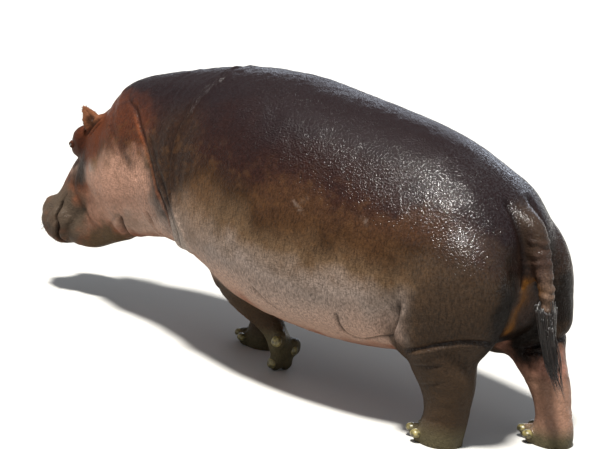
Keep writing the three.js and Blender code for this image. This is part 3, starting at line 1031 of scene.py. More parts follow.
# How the tone changes from the belly, at 0, to the ridge of the back, at 1.
RISE = [
    (0.00, Tone.UNDERSIDE),
    (0.09, Tone.BELLY),
    (0.28, Tone.LOW_FLANK),
    (0.41, Tone.MID_FLANK),
    (0.54, Tone.FLANK),
    (0.67, Tone.UPPER_FLANK),
    (0.88, Tone.BACK),
    (1.00, Tone.BACK),
]
PATCHES = [
    Patch(Tone.NECK, (-570, -380, 930), (230, 200, 320), 0.95),
    Patch(Tone.TEMPLE, (-980, -270, 1000), (190, 200, 180), 0.7),
    Patch(Tone.CHEEK, (-880, -300, 720), (190, 200, 150), 0.8),
    Patch(Tone.BACK, (-700, -100, 1330), (420, 330, 150), 0.9),
    # Painted sheen on the lower chest.
    Patch(Tone.PAINTED_SHEEN, (-460, -430, 580), (90, 140, 120), 0.75),
    Patch(Tone.RUST, (330, -540, 930), (260, 200, 130), 0.4),
    Patch(Tone.RUST, (760, -500, 900), (180, 200, 110), 0.4),
    Patch(Tone.RUST, (-250, -520, 870), (130, 150, 90), 0.4),
    Patch(Tone.RUST, (1000, -440, 1000), (130, 150, 90), 0.35),
    Patch(Tone.TAN, (-330, -460, 700), (160, 150, 150), 0.45),
    Patch(Tone.THIGH, (1200, -310, 600), (310, 300, 330), 1.0),
    Patch(Tone.SHADOW, (1285, -120, 660), (85, 120, 260), 0.9),
    Patch(Tone.SHADOW, (1290, 30, 680), (120, 160, 300), 0.95, both_sides=False),
    Patch(Tone.TAIL, (1380, 0, 800), (150, 110, 420), 0.95, both_sides=False),
    Patch(Tone.THIGH, (1275, 0, 1000), (120, 110, 130), 0.75, both_sides=False),
    Patch(Tone.TAN, (1425, 0, 680), (70, 70, 150), 0.35, both_sides=False),
    Patch(Tone.SHADOW, (1240, 90, 425), (90, 110, 90), 0.85, both_sides=False),
    Patch(Tone.SHADOW, (1345, -225, 650), (75, 95, 190), 0.95),
    Patch(Tone.SHADOW, (1250, -20, 455), (150, 210, 85), 0.9, both_sides=False),
    Patch(Tone.SHADOW, (1290, -200, 505), (75, 95, 50), 0.8, both_sides=False),
    Patch(Tone.RUST, (-1010, -240, 535), (110, 120, 75), 0.35),
    Patch(Tone.FOOT, (50, -100, 110), (120, 130, 130), 1.0, both_sides=False),
]
HEAD_PATCHES = [
    Patch(Tone.TEMPLE, (-20, 190, 70), (260, 190, 150), 1.0),
    Patch(Tone.TEMPLE, (120, 190, 90), (150, 190, 120), 0.7),
    Patch(Tone.CHEEK, (-110, 230, -222), (215, 220, 145), 1.0),
    Patch(Tone.CHEEK, (70, 230, -310), (220, 220, 130), 0.95),
    Patch(Tone.CHEEK, (-335, 170, -165), (115, 130, 85), 0.7),
    Patch(Tone.MUZZLE, (-575, 0, -30), (205, 300, 230), 1.0),
    Patch(Tone.CHEEK, (-330, 170, -240), (150, 130, 90), 0.5),
    Patch(Tone.CHIN, (-510, 0, -325), (220, 260, 88), 0.95),
    Patch(Tone.TEMPLE, (-370, 0, 120), (220, 150, 75), 0.7),
    Patch(Tone.SHADOW, (-275, 155, 8), (88, 90, 78), 0.85),
    # Painted shade below the front of the eye, in the neck's dark tone.
    Patch(Tone.NECK, (-335, 115, 30), (80, 80, 70), 0.7),
    Patch(Tone.EAR, (0, 170, 190), (70, 70, 80), 1.0),
    Patch(Tone.BROW, (-210, 130, 140), (95, 75, 75), 0.9),
    Patch(Tone.SHADOW, (-25, 170, 150), (30, 26, 34), 0.8),
]


@dataclass(frozen=True)
class Stripe:
    """A soft-edged band of one tone that runs over the skin, on the left side, in millimetres."""

    tone: Tone
    points: tuple[tuple[float, float, float], ...]
    width: float
    cover: float
    ahead: float = 0.0
    both_sides: bool = True


SCARS = (
    ((310, -531, 979), (365, -533, 950), (422, -538, 912)),
    ((416, -506, 1015), (393, -523, 983), (369, -532, 955)),
    ((680, -484, 981), (728, -489, 951), (771, -487, 924)),
)
STRIPES = [
    Stripe(Tone.RIM, FOLDS["behind_jaw"].points[3:11], 10, 0.3, ahead=16),
    # Painted shade below each eye.
    Stripe(
        Tone.SHADOW,
        ((-1432, -160, 850), (-1400, -180, 800), (-1385, -190, 750), (-1400, -180, 700),
         (-1415, -168, 650), (-1440, -150, 590)),
        48, 0.6,
    ),
    Stripe(
        Tone.NECK,
        ((-1040, -285, 985), (-1000, -296, 945), (-955, -312, 900), (-915, -325, 850),
         (-898, -329, 790)),
        42, 0.65,
    ),
    Stripe(
        Tone.OCHRE,
        ((1371, -52, 786), (1335, -35, 730), (1310, -18, 682), (1295, -60, 593),
         (1250, -60, 500)),
        40, 0.85, both_sides=False,
    ),
    *(Stripe(Tone.SCAR, points, 5.0, 0.35, both_sides=False) for points in SCARS),
]
# Tones down each leg: height in millimetres and tone.
LEG_TONES = {
    "hindleg_left": [(40, Tone.FOOT), (120, Tone.SHANK), (420, Tone.SHANK), (560, Tone.THIGH)],
    "hindleg_right": [
        (40, Tone.FOOT), (110, Tone.MAUVE), (280, Tone.MAUVE), (340, Tone.PINK_SHANK),
        (430, Tone.PINK_SHANK), (475, Tone.SHADOW),
    ],
    "foreleg_left": [
        (60, Tone.FOOT), (150, Tone.FOOT), (230, Tone.SHANK), (420, Tone.SHANK),
        (560, Tone.TAN),
    ],
    "foreleg_right": [(40, Tone.FOOT), (120, Tone.SHANK), (420, Tone.SHANK), (560, Tone.TAN)],
}


# ------------ the skin


def path_offsets(
    points: np.ndarray, normals: np.ndarray, path: np.ndarray, reach: float, side: int
) -> tuple[np.ndarray, ...]:
    """Measure how points near a path lie to it.

    Args:
        points: the skin's points.
        normals: which way the skin faces at each.
        path: points of the path in order.
        reach: how far from the path a point may be.
        side: 1 on the right side of the body, -1 on the left.

    Returns:
        Which points are near, how far off each is, how far ahead of the path, how far along
        it, and the path's length.
    """
    low, high = path.min(axis=0) - reach, path.max(axis=0) + reach
    near = np.flatnonzero(((points > low) & (points < high)).all(axis=1))
    starts, spans = path[:-1], np.diff(path, axis=0)
    lengths = np.linalg.norm(spans, axis=1)
    run = np.concatenate([[0.0], np.cumsum(lengths)])
    best = np.full(len(near), np.inf)
    ahead, along = np.zeros(len(near)), np.zeros(len(near))
    for start, span, length, before in zip(starts, spans, lengths, run[:-1], strict=True):
        off = points[near] - start
        share = np.clip(off @ span / length**2, 0.0, 1.0)
        gap = off - share[:, None] * span
        distance = np.linalg.norm(gap, axis=1)
        closer = distance < best
        best[closer] = distance[closer]
        forward = np.cross(span / length, normals[near][closer]) * -side
        ahead[closer] = (gap[closer] * forward).sum(axis=1)
        along[closer] = before + share[closer] * length
    kept = best < reach
    return near[kept], best[kept], ahead[kept], along[kept], run[-1]


def skin_tree(mesh: bpy.types.Mesh, points: np.ndarray) -> BVHTree:
    """Give a search tree of a mesh's faces, for its points in metres."""
    return BVHTree.FromPolygons(points.tolist(), [p.vertices for p in mesh.polygons])


def laid_on(skin: BVHTree, path: np.ndarray) -> np.ndarray:
    """Lay a path of the body's frame, in millimetres, on the skin where it comes nearest."""
    near = [skin.find_nearest(Vector(place))[0] for place in placed(path)]
    return to_body(np.array(near))


@dataclass(frozen=True)
class Mouth:
    """The mouth's slit between the lips, in the head's frame, in millimetres.

    The line is seen from the side, from below the front of the muzzle to the corner. The lips
    part at the front, and further back only a groove shows.
    """

    line: tuple[tuple[float, float], ...] = (
        (-800, -172), (-690, -146), (-652, -122), (-604, -102), (-584, -84), (-574, -57),
        (-541, -26), (-512, -4), (-460, 10), (-371, 18), (-290, 28),
    )
    steps: int = 6
    reach: float = 70.0
    back_end: float = -250.0
    low_end: float = -260.0
    parted: tuple[float, float] = (-498.0, -530.0)
    lipped: tuple[float, float] = (-430.0, -500.0)
    gape: float = 5.5
    wider: float = 4.5
    widest_at: float = -602.0
    widest_over: float = 16.0
    slit_depth: float = 22.0
    groove_depth: float = 5.0
    # Each lip's roll: how far above the line, how wide, how high, and how much more in front.
    upper_lip: tuple[float, ...] = (22.0, 15.0, 2.0, 4.0)
    lower_lip: tuple[float, ...] = (-20.0, 14.0, 2.0, 3.0)

    def offsets(self, head: np.ndarray) -> tuple[np.ndarray, np.ndarray]:
        """Measure how points of the head lie to the mouth's line, seen from the side.

        Args:
            head: the points.

        Returns:
            How far from the line each is, and how far above it.
        """
        line = through(np.array(self.line, float), self.steps)
        side_view = head[:, [0, 2]]
        best = np.full(len(head), np.inf)
        above = np.zeros(len(head))
        for start, end in zip(line[:-1], line[1:], strict=True):
            span = end - start
            off = side_view - start
            share = np.clip(off @ span / (span @ span), 0.0, 1.0)
            gap = off - share[:, None] * span
            distance = np.linalg.norm(gap, axis=1)
            closer = distance < best
            best[closer] = distance[closer]
            above[closer] = gap[closer, 1]
        return best, above

    def press(self, head: np.ndarray, lift: np.ndarray) -> np.ndarray:
        """Press the slit, with rolled edges.

        Args:
            head: the skin's points.
            lift: how far each is to be raised, which this changes.

        Returns:
            How much painted shade the slit gets at each.
        """
        distance, above = self.offsets(head)
        x = head[:, 0]
        here = (x < self.back_end) & (head[:, 2] > self.low_end) & (distance < self.reach)
        parted = smoothstep(x, *self.parted) * here
        lipped = smoothstep(x, *self.lipped) * here
        gape = self.gape + self.wider * bell(x - self.widest_at, self.widest_over)
        slit = np.exp(-((distance / gape) ** 2))
        lift -= (self.slit_depth * parted + self.groove_depth * lipped) * slit
        for at, width, height, more in (self.upper_lip, self.lower_lip):
            lift += (height + more * parted) * lipped * bell(above - at, width)
        # Painted shade: darkest where the lips part, lighter along the closed groove.
        return (0.85 * parted + 0.3 * lipped * (1.0 - parted)) * slit


@dataclass(frozen=True)
class Wrinkles:
    """The small rise and fall of loose skin: each height, and the size of one wave, in mm."""

    loose: tuple[float, float] = (2.2, 120.0)
    upright: tuple[float, float] = (1.0, 34.0)
    more_on_neck: float = 2.2
    upright_stretch: float = 0.22
    fine: tuple[float, float] = (0.7, 22.0)
    tail_height: float = 3.4
    tail_ring: float = 7.5
    shank_height: float = 1.4
    shank_ring: float = 11.0

    def lift(self, body: np.ndarray) -> np.ndarray:
        """Give how far each point of the skin rises.

        Args:
            body: the points, in the body's frame.

        Returns:
            The rise of each, in millimetres.
        """
        x, y, z = body.T
        height, size = self.loose
        lift = height * lattice_noise(body, size, 1)
        height, size = self.upright
        on_neck = smoothstep(x, -250.0, -560.0) * smoothstep(x, -900.0, -760.0)
        upright = lattice_noise(body * [1.0, 1.0, self.upright_stretch], size, 2)
        lift += (height + self.more_on_neck * on_neck) * upright
        height, size = self.fine
        lift += height * lattice_noise(body, size, 3)
        on_tail = smoothstep(x, 1290.0, 1330.0) * smoothstep(np.abs(y), 95.0, 75.0)
        on_tail = on_tail * smoothstep(z, 1000.0, 950.0) * smoothstep(z, 480.0, 560.0)
        rings = np.sin(z / self.tail_ring + 2.0 * lattice_noise(body, 45.0, 4))
        rings = rings * (0.6 + 0.4 * lattice_noise(body, 60.0, 6))
        lumps = self.tail_height * lattice_noise(body, 30.0, 7)
        lift += on_tail * (self.tail_height * rings + lumps)
        on_shank = smoothstep(z, 420.0, 340.0) * smoothstep(z, 60.0, 120.0)
        rings = np.sin(z / self.shank_ring + 2.5 * lattice_noise(body, 80.0, 8))
        rings = on_shank * self.shank_height * rings
        lift += rings * smoothstep(lattice_noise(body, 90.0, 9), -0.2, 0.5)
        return lift


class Hide:
    """The one skin over trunk, neck, head, ears, legs, feet and tail."""

    PAIRED = ("ear", "foreleg", "forefoot", "hindleg", "hindfoot")
    NODES = (
        "head", "lower_jaw", "neck", "trunk", "tail",
        *(f"{part}_{side}" for part in PAIRED for side in ("left", "right")),
    )
    VOXEL = 0.0065
    MOST_TRIANGLES = 196000
    ROUNDS = 60
    # How far a point goes towards its neighbours' middle each time, and how much less in places.
    PULL = 0.5
    LESS_ON_HEAD = 0.32
    LESS_ON_EAR = 0.85
    PULL_ON_TOES = 0.25
    TOES_BELOW = 0.16
    # Where the head and an ear begin, and how near an ear's middle its skin is.
    HEAD_FROM = (60.0, -60.0)
    EAR_FROM = (0.12, 0.35)
    EAR_WITHIN = (90.0, 70.0)
    # Round what is finely shaped the mesh is finer, within so many millimetres.
    EYE_ZONE = 48.0
    NOSTRIL_ZONE = 52.0
    MOUTH_ZONE = 26.0
    ZONE_STEP = 6.0
    PATH_STEPS = 5
    STRIPE_FADE = 60.0

    def __init__(self) -> None:
        """Start with no painted shade in the creases."""
        self.crease_shade = np.zeros(0)

    def build(self) -> bpy.types.Object:
        """Make the skin and dress it.

        Returns:
            The finished skin.
        """
        mesh = self._join()
        self._smooth(mesh)
        self._refine(mesh)
        self._sculpt(mesh)
        mesh = self._thin(mesh)
        self._colour(mesh)
        return add_piece(mesh, "hide", WetHide().material(), "hide_back", *self.NODES)

    def _join(self) -> bpy.types.Mesh:
        """Join all the forms under the skin into one surface."""
        forms = Forms()
        forms.barrel(TRUNK)
        forms.barrel(SKULL, in_head=True)
        forms.barrel(JAW, in_head=True)
        for side in SIDES:
            for form in BODY_SWELLINGS.values():
                forms.swelling(form, side)
            for form in HEAD_SWELLINGS.values():
                forms.swelling(form, side, in_head=True)
            forms.ear(EarShape(), side)
        for name, girths in LEGS.items():
            forms.limb(girths)
            for place in toes_of(name):
                forms.toe(place)
        forms.limb(TAIL)
        return self._applied(forms.mesh(), "REMESH", mode="VOXEL", voxel_size=self.VOXEL)

    @staticmethod
    def _applied(mesh: bpy.types.Mesh, kind: str, **settings: object) -> bpy.types.Mesh:
        """Run one modifier on a mesh and give what it makes."""
        work = linked("work", mesh)
        modifier = work.modifiers.new("work", kind)
        for name, value in settings.items():
            setattr(modifier, name, value)
        evaluated = work.evaluated_get(bpy.context.evaluated_depsgraph_get())
        made = bpy.data.meshes.new_from_object(evaluated)
        bpy.data.objects.remove(work)
        bpy.data.meshes.remove(mesh)
        return made

    @staticmethod
    def _points(mesh: bpy.types.Mesh) -> np.ndarray:
        """Give a mesh's points, in metres."""
        flat = np.empty(len(mesh.vertices) * 3)
        mesh.vertices.foreach_get("co", flat)
        return flat.reshape(-1, 3)

    @staticmethod
    def _move(mesh: bpy.types.Mesh, points: np.ndarray) -> None:
        """Put a mesh's points in new places, in metres."""
        mesh.vertices.foreach_set("co", points.ravel())
        mesh.update()

    @staticmethod
    def _normals(mesh: bpy.types.Mesh) -> np.ndarray:
        """Give the way that a mesh faces at each of its points."""
        flat = np.empty(len(mesh.vertices) * 3)
        mesh.vertex_normals.foreach_get("vector", flat)
        return flat.reshape(-1, 3)

    @staticmethod
    def _right_half(head: np.ndarray) -> np.ndarray:
        """Fold points of the head's frame over to its right side."""
        return np.stack([head[:, 0], np.abs(head[:, 1]), head[:, 2]], axis=-1)

    def _smooth(self, mesh: bpy.types.Mesh) -> None:
        """Blend the forms where they meet, most on the body and least on the ears and toes."""
        points = self._points(mesh)
        head = self._right_half(to_head(points))
        ear = EarShape()
        root, tip = np.array(ear.root), np.array(ear.tip)
        way = tip - root
        share = (head - root) @ way / (way @ way)
        off = np.linalg.norm(head - root - share[:, None] * way, axis=1)
        on_ear = smoothstep(share, *self.EAR_FROM) * smoothstep(off, *self.EAR_WITHIN)
        pull = self.PULL - self.LESS_ON_HEAD * smoothstep(head[:, 0], *self.HEAD_FROM)
        pull *= 1.0 - self.LESS_ON_EAR * on_ear
        pull *= np.where(points[:, 2] < self.TOES_BELOW, self.PULL_ON_TOES, 1.0)
        self._move(mesh, self._relaxed(mesh, points, pull))

    def _relaxed(self, mesh: bpy.types.Mesh, points: np.ndarray, pull: np.ndarray) -> np.ndarray:
        """Move each point towards the middle of its neighbours, again and again.

        Args:
            mesh: gives the edges.
            points: where the points are.
            pull: how far each goes each time, from 0 to 1.

        Returns:
            The moved points.
        """
        ends = np.empty(len(mesh.edges) * 2, np.int64)
        mesh.edges.foreach_get("vertices", ends)
        a, b = ends.reshape(-1, 2).T
        count = len(points)
        links = np.bincount(a, minlength=count) + np.bincount(b, minlength=count)
        for _ in range(self.ROUNDS):
            sums = []
            for k in range(3):
                at_a, at_b = points[a, k], points[b, k]
                sums.append(np.bincount(a, at_b, count) + np.bincount(b, at_a, count))
            middle = np.stack(sums, axis=-1) / links[:, None]
            points = points + (middle - points) * pull[:, None]
        return points

    def _refine(self, mesh: bpy.types.Mesh) -> None:
        """Cut the soles level with the floor, and make lids, nostrils and lips a finer mesh."""
        bm = bmesh.new()
        bm.from_mesh(mesh)
        every = [*bm.verts, *bm.edges, *bm.faces]
        cut = bmesh.ops.bisect_plane(
            bm, geom=every, dist=1e-5, plane_co=(0, 0, 0), plane_no=(0, 0, -1), clear_outer=True
        )
        rims = [e for e in cut["geom_cut"] if isinstance(e, bmesh.types.BMEdge)]
        bmesh.ops.holes_fill(bm, edges=rims, sides=0)
        for level in range(2):
            less = self.ZONE_STEP * level
            head = to_head(np.array([f.calc_center_median() for f in bm.faces]))
            head = self._right_half(head)
            fine = np.linalg.norm(head - EYE_AT, axis=1) < self.EYE_ZONE - less
            fine |= np.linalg.norm(head - Nostril.MIDDLE, axis=1) < self.NOSTRIL_ZONE - less
            if level == 0:
                fine |= Mouth().offsets(head)[0] < self.MOUTH_ZONE
            near = zip(bm.faces, fine, strict=True)
            faces = [face for face, wanted in near if wanted and len(face.verts) == 4]
            edges = list({e for f in faces for e in f.edges})
            bmesh.ops.subdivide_edges(bm, edges=edges, cuts=1, use_grid_fill=True)
        bmesh.ops.recalc_face_normals(bm, faces=bm.faces)
        bm.to_mesh(mesh)
        bm.free()
        mesh.update()

    def _sculpt(self, mesh: bpy.types.Mesh) -> None:
        """Work the skin over: hollows, folds, lids, nostrils, lips and wrinkles."""
        points, normals = self._points(mesh), self._normals(mesh)
        body, head = to_body(points), to_head(points)
        lift = np.zeros(len(points))
        self.crease_shade = np.zeros(len(points))
        for mounds, where in ((MOUNDS, body), (HEAD_MOUNDS, head)):
            for mound in mounds.values():
                for at in middles_of(mound.at, mound.both_sides):
                    gap = (where - at) / mound.size
                    lift += mound.height * np.exp(-(gap**2).sum(axis=1))
        skin = skin_tree(mesh, points)
        for fold in FOLDS.values():
            knots = np.array(fold.points, float)
            curve = through(head_to_body(knots) if fold.in_head else knots, self.PATH_STEPS)
            for side in sides_of(fold.both_sides):
                path = laid_on(skin, curve * [1.0, -side, 1.0])
                self._fold(fold, path_offsets(body, normals, path, fold.reach(), side), body, lift)
        self.crease_shade = np.maximum(self.crease_shade, Mouth().press(head, lift))
        self._move(mesh, placed(body + normals * lift[:, None]))
        head, normals = to_head(self._points(mesh)), self._normals(mesh)
        for side in SIDES:
            Lids(side).shape(head)
            Nostril(side).shape(head)
        moved = placed(head_to_body(head))
        moved = moved + normals * (Wrinkles().lift(to_body(moved))[:, None] * MM)
        moved[:, 2] = np.maximum(moved[:, 2], 0.0)
        self._move(mesh, moved)

    def _fold(
        self, fold: Fold, offsets: tuple[np.ndarray, ...], body: np.ndarray, lift: np.ndarray
    ) -> None:
        """Press one fold into the skin's lift, and paint shade along its groove.

        Args:
            fold: its sizes.
            offsets: how the skin's points lie to its path.
            body: the skin's points.
            lift: how far each point is to be raised, which this changes.
        """
        near, distance, ahead, along, length = offsets
        start, end = smoothstep(along, 0.0, fold.fade), smoothstep(length - along, 0.0, fold.fade)
        fade = np.minimum(start, end)
        wobble = 1.0 + fold.WOBBLE * lattice_noise(body[near], fold.WOBBLE_SIZE, 5)
        groove = np.exp(-((distance / (fold.width * wobble)) ** fold.sharp))
        lip_at, lip_width = fold.width * fold.LIP_AT, fold.width * fold.LIP_WIDTH
        lips = fold.ahead * bell(ahead - lip_at, lip_width)
        lips += fold.behind * bell(ahead + lip_at, lip_width)
        lift[near] += fade * (lips - fold.depth * groove)
        # Shade painted along the groove, darker the deeper the fold.
        dark = bell(distance, fold.width * fold.DARK_WIDTH)
        shade = fade * dark * min(1.0, fold.depth / fold.DARKEST)
        self.crease_shade[near] = np.maximum(self.crease_shade[near], shade)

    def _thin(self, mesh: bpy.types.Mesh) -> bpy.types.Mesh:
        """Bring the skin down to its share of triangles, where it is flattest first."""
        layer = mesh.attributes.new("crease_shade", "FLOAT", "POINT")
        layer.data.foreach_set("value", self.crease_shade.astype(np.float32))
        count = triangles(mesh)
        if count <= self.MOST_TRIANGLES:
            return mesh
        return self._applied(mesh, "DECIMATE", ratio=self.MOST_TRIANGLES / count)

    def _colour(self, mesh: bpy.types.Mesh) -> None:
        """Give each point its tone, and how far it is speckled, streaked, stained and wet."""
        points = self._points(mesh)
        points[:, 2] = np.maximum(points[:, 2], 0.0)
        mesh.vertices.foreach_set("co", points.ravel())
        normals = self._normals(mesh)
        body, head = to_body(points), to_head(points)
        rise = self._rise(body)
        colour = ramp(RISE, rise)
        self._tone_legs(colour, body)
        for patches, where in ((PATCHES, body), (HEAD_PATCHES, head)):
            self._tone_patches(colour, patches, where)
        self._tone_stripes(colour, skin_tree(mesh, points), body, normals)
        # Darken creases and the mouth's slit with painted shade.
        values = np.empty(len(points), np.float32)
        mesh.attributes["crease_shade"].data.foreach_get("value", values)
        deep = np.clip(values * 1.1, 0.0, 1.0)[:, None] * 0.85
        colour += (Tone.CREASE_SHADE.rgb() - colour) * deep
        tone = np.concatenate([colour, np.ones((len(points), 1))], axis=1)
        masks = self._masks(rise, body, head, normals)
        for name, rows in (("hide_tone", tone), ("hide_masks", masks)):
            layer = mesh.color_attributes.new(name, "FLOAT_COLOR", "POINT")
            layer.data.foreach_set("color", rows.astype(np.float32).ravel())

    @staticmethod
    def _rise(body: np.ndarray) -> np.ndarray:
        """Give how far up the trunk each point is: 0 at the belly, 1 at the ridge of the back."""
        x, z = body[:, 0], body[:, 2]
        hoops = np.array([[h.x, h.top, h.bottom] for h in TRUNK])[::-1]
        top, bottom = (np.interp(x, hoops[:, 0], hoops[:, k]) for k in (1, 2))
        rise = (z - bottom) / (top - bottom)
        rise += 0.05 * lattice_noise(body, 220.0, 21) + 0.035 * lattice_noise(body, 80.0, 22)
        return np.clip(np.maximum(rise, 0.5 * smoothstep(x, 930.0, 1080.0)), 0.0, 1.0)

    @staticmethod
    def _tone_legs(colour: np.ndarray, body: np.ndarray) -> None:
        """Give the legs tones of their own, which change with height."""
        x, y, z = body.T
        for leg, tones in LEG_TONES.items():
            girths = [[g.at[2], g.at[0], g.at[1], max(g.deep, g.wide)] for g in LEGS[leg]]
            girths = np.array(girths)[::-1]
            middle_x, middle_y, size = (np.interp(z, girths[:, 0], girths[:, k]) for k in (1, 2, 3))
            cover = smoothstep(np.hypot(x - middle_x, y - middle_y) / size, 1.75, 1.35)
            cover *= smoothstep(z + 25.0 * lattice_noise(body, 90.0, 25), 520.0, 400.0)
            colour += (ramp(tones, z) - colour) * cover[:, None]

    @staticmethod
    def _tone_patches(colour: np.ndarray, patches: list[Patch], where: np.ndarray) -> None:
        """Lay patches of other tones on the skin, with uneven edges."""
        blur = 0.2 * lattice_noise(where, 60.0, 23) + 0.15 * lattice_noise(where, 24.0, 24)
        for patch in patches:
            for at in middles_of(patch.at, patch.both_sides):
                gap = (where - at) / patch.size
                off = np.sqrt((gap**2).sum(axis=1)) + blur
                cover = patch.cover * smoothstep(off, *patch.EDGE)
                colour += (patch.tone.rgb() - colour) * cover[:, None]

    def _tone_stripes(
        self, colour: np.ndarray, skin: BVHTree, body: np.ndarray, normals: np.ndarray
    ) -> None:
        """Lay stripes of other tones: rims of folds, painted shade under the eyes, bands, old
        scars.
        """
        for stripe in STRIPES:
            curve = through(np.array(stripe.points, float), self.PATH_STEPS)
            for side in sides_of(stripe.both_sides):
                path = laid_on(skin, curve * [1.0, -side, 1.0])
                near, distance, ahead, along, length = path_offsets(
                    body, normals, path, stripe.width * 3.0 + stripe.ahead, side
                )
                off = distance
                if stripe.ahead:
                    off = np.hypot(ahead - stripe.ahead, distance - np.abs(ahead))
                cover = stripe.cover * bell(off, stripe.width)
                start = smoothstep(along, 0.0, self.STRIPE_FADE)
                cover *= start * smoothstep(length - along, 0.0, self.STRIPE_FADE)
                cover *= 1.0 + 0.35 * lattice_noise(body[near], 40.0, 26)
                cover = np.clip(cover, 0.0, 1.0)[:, None]
                colour[near] += (stripe.tone.rgb() - colour[near]) * cover

    @staticmethod
    def _masks(
        rise: np.ndarray, body: np.ndarray, head: np.ndarray, normals: np.ndarray
    ) -> np.ndarray:
        """Give how far the skin is speckled, streaked, stained and wet.

        Args:
            rise: how far up the trunk each point is.
            body: the points in the body's frame.
            head: the points in the head's frame.
            normals: which way the skin faces at each.

        Returns:
            Four values for each point.
        """
        x, z = body[:, 0], body[:, 2]
        in_head = smoothstep(head[:, 0], 120.0, 20.0)
        flank = smoothstep(z, 300.0, 450.0) * smoothstep(rise, 0.95, 0.7) * (1.0 - in_head)
        cheek = in_head * smoothstep(head[:, 2], 60.0, -60.0)
        cheek = cheek * smoothstep(head[:, 0], -520.0, -380.0)
        speck = 0.16 + 0.38 * flank
        speck += 0.08 * cheek
        rust = 0.38 * flank * smoothstep(rise, 0.24, 0.42) * smoothstep(rise, 0.8, 0.6)
        rust = rust * smoothstep(x, 1150.0, 900.0)
        rust += 0.22 * cheek
        # Water stays on what faces up, most of all on the rump, and the head is all but dry.
        wet = (0.12 + 0.88 * smoothstep(normals[:, 2], 0.0, 0.5)) * (1.0 - 0.75 * in_head)
        wet *= 0.38 + 0.62 * smoothstep(x, 740.0, 1000.0)
        return np.stack([speck, 0.75 * flank, rust, wet], axis=-1)


# ------------ eyes and nostrils

EYE_AT = np.array([-232.0, 138.0, 166.0])
EYE_RADIUS = 24.0


@dataclass(frozen=True)
class Lids:
    """Thick lids round one eye, in the head's frame, in millimetres."""

    side: int
    gaze: tuple[float, float, float] = (-0.32, 0.93, 0.18)
    lid: float = 5.0
    half_length: float = 17.0
    half_height: float = 9.5
    slit_depth: float = 8.0
    edge: float = 3.0
    reach: float = 28.0
    blend: float = 70.0
    fold_at: float = 34.0
    fold_width: float = 4.5
    fold_depth: tuple[float, float] = (5.0, 4.0)

    def axes(self) -> tuple[np.ndarray, np.ndarray, np.ndarray]:
        """Give the way the eye looks, the way along its slit, and the way up across it."""
        look = np.array(self.gaze) * [1.0, self.side, 1.0]
        look /= np.linalg.norm(look)
        up = np.array([0.25, 0.0, 1.0])
        up -= look * (up @ look)
        up /= np.linalg.norm(up)
        return look, np.cross(up, look), up

    def shape(self, head: np.ndarray) -> None:
        """Move the skin's points round this eye.

        Args:
            head: all the skin's points, in the head's frame, which this changes.
        """
        middle = EYE_AT * [1.0, self.side, 1.0]
        look, along, up = self.axes()
        off = head - middle
        close = np.linalg.norm(off, axis=1) < self.blend * 1.6
        near = np.flatnonzero(close & (off @ look > -10.0))
        off = off[near]
        u, w = off @ along, off @ up
        distance = np.linalg.norm(off, axis=1)
        spread = np.hypot(u, w)
        almond = np.sqrt(np.clip(1.0 - (u / self.half_length) ** 2, 0.02, 1.0))
        slit = np.abs(w + 1.0) / (self.half_height * almond)
        inside = smoothstep(slit, 1.1, 0.85) * (np.abs(u) < self.half_length)
        target = EYE_RADIUS + self.lid - (self.lid + self.slit_depth) * inside
        target += self.edge * bell(slit - 1.35, 0.35) * (1.0 - inside)
        weight = smoothstep(spread, self.blend, self.reach) * smoothstep(off @ look, -6.0, 10.0)
        fold = np.where(w > 0, *self.fold_depth) * bell(spread - self.fold_at, self.fold_width)
        reach = distance + (target - distance) * weight - fold
        head[near] = middle + off * (reach / np.maximum(distance, 1.0))[:, None]


@dataclass(frozen=True)
class Nostril:
    """One slanting nostril on top of the muzzle, in the head's frame, in millimetres."""

    side: int
    front: tuple[float, float, float] = (-668.0, 66.0, 92.0)
    rear: tuple[float, float, float] = (-612.0, 104.0, 106.0)
    half_width: float = 8.0
    depth: float = 24.0
    rim: float = 6.0
    rim_at: float = 17.0
    rim_width: float = 8.0
    reach: float = 60.0
    MIDDLE = np.array([-640.0, 86.0, 100.0])

    def shape(self, head: np.ndarray) -> None:
        """Move the skin's points round this nostril.

        Args:
            head: all the skin's points, in the head's frame, which this changes.
        """
        mirror = np.array([1.0, self.side, 1.0])
        start, end = np.array(self.front) * mirror, np.array(self.rear) * mirror
        span = end - start
        share = np.clip((head - start) @ span / (span @ span), 0.0, 1.0)
        gap = head - start - share[:, None] * span
        gap[:, 2] *= 0.35
        distance = np.linalg.norm(gap, axis=1)
        near = np.flatnonzero((distance < self.reach) & (head[:, 2] > 20.0))
        swell = np.sin(math.pi * (0.15 + 0.7 * share[near])) ** 0.5
        well = np.exp(-((distance[near] / (self.half_width * swell)) ** 3))
        edge = bell(distance[near] - self.rim_at, self.rim_width)
        inward = np.array([0.35, -0.15 * self.side, -0.92])
        head[near] += np.outer(self.depth * well - self.rim * edge, inward)


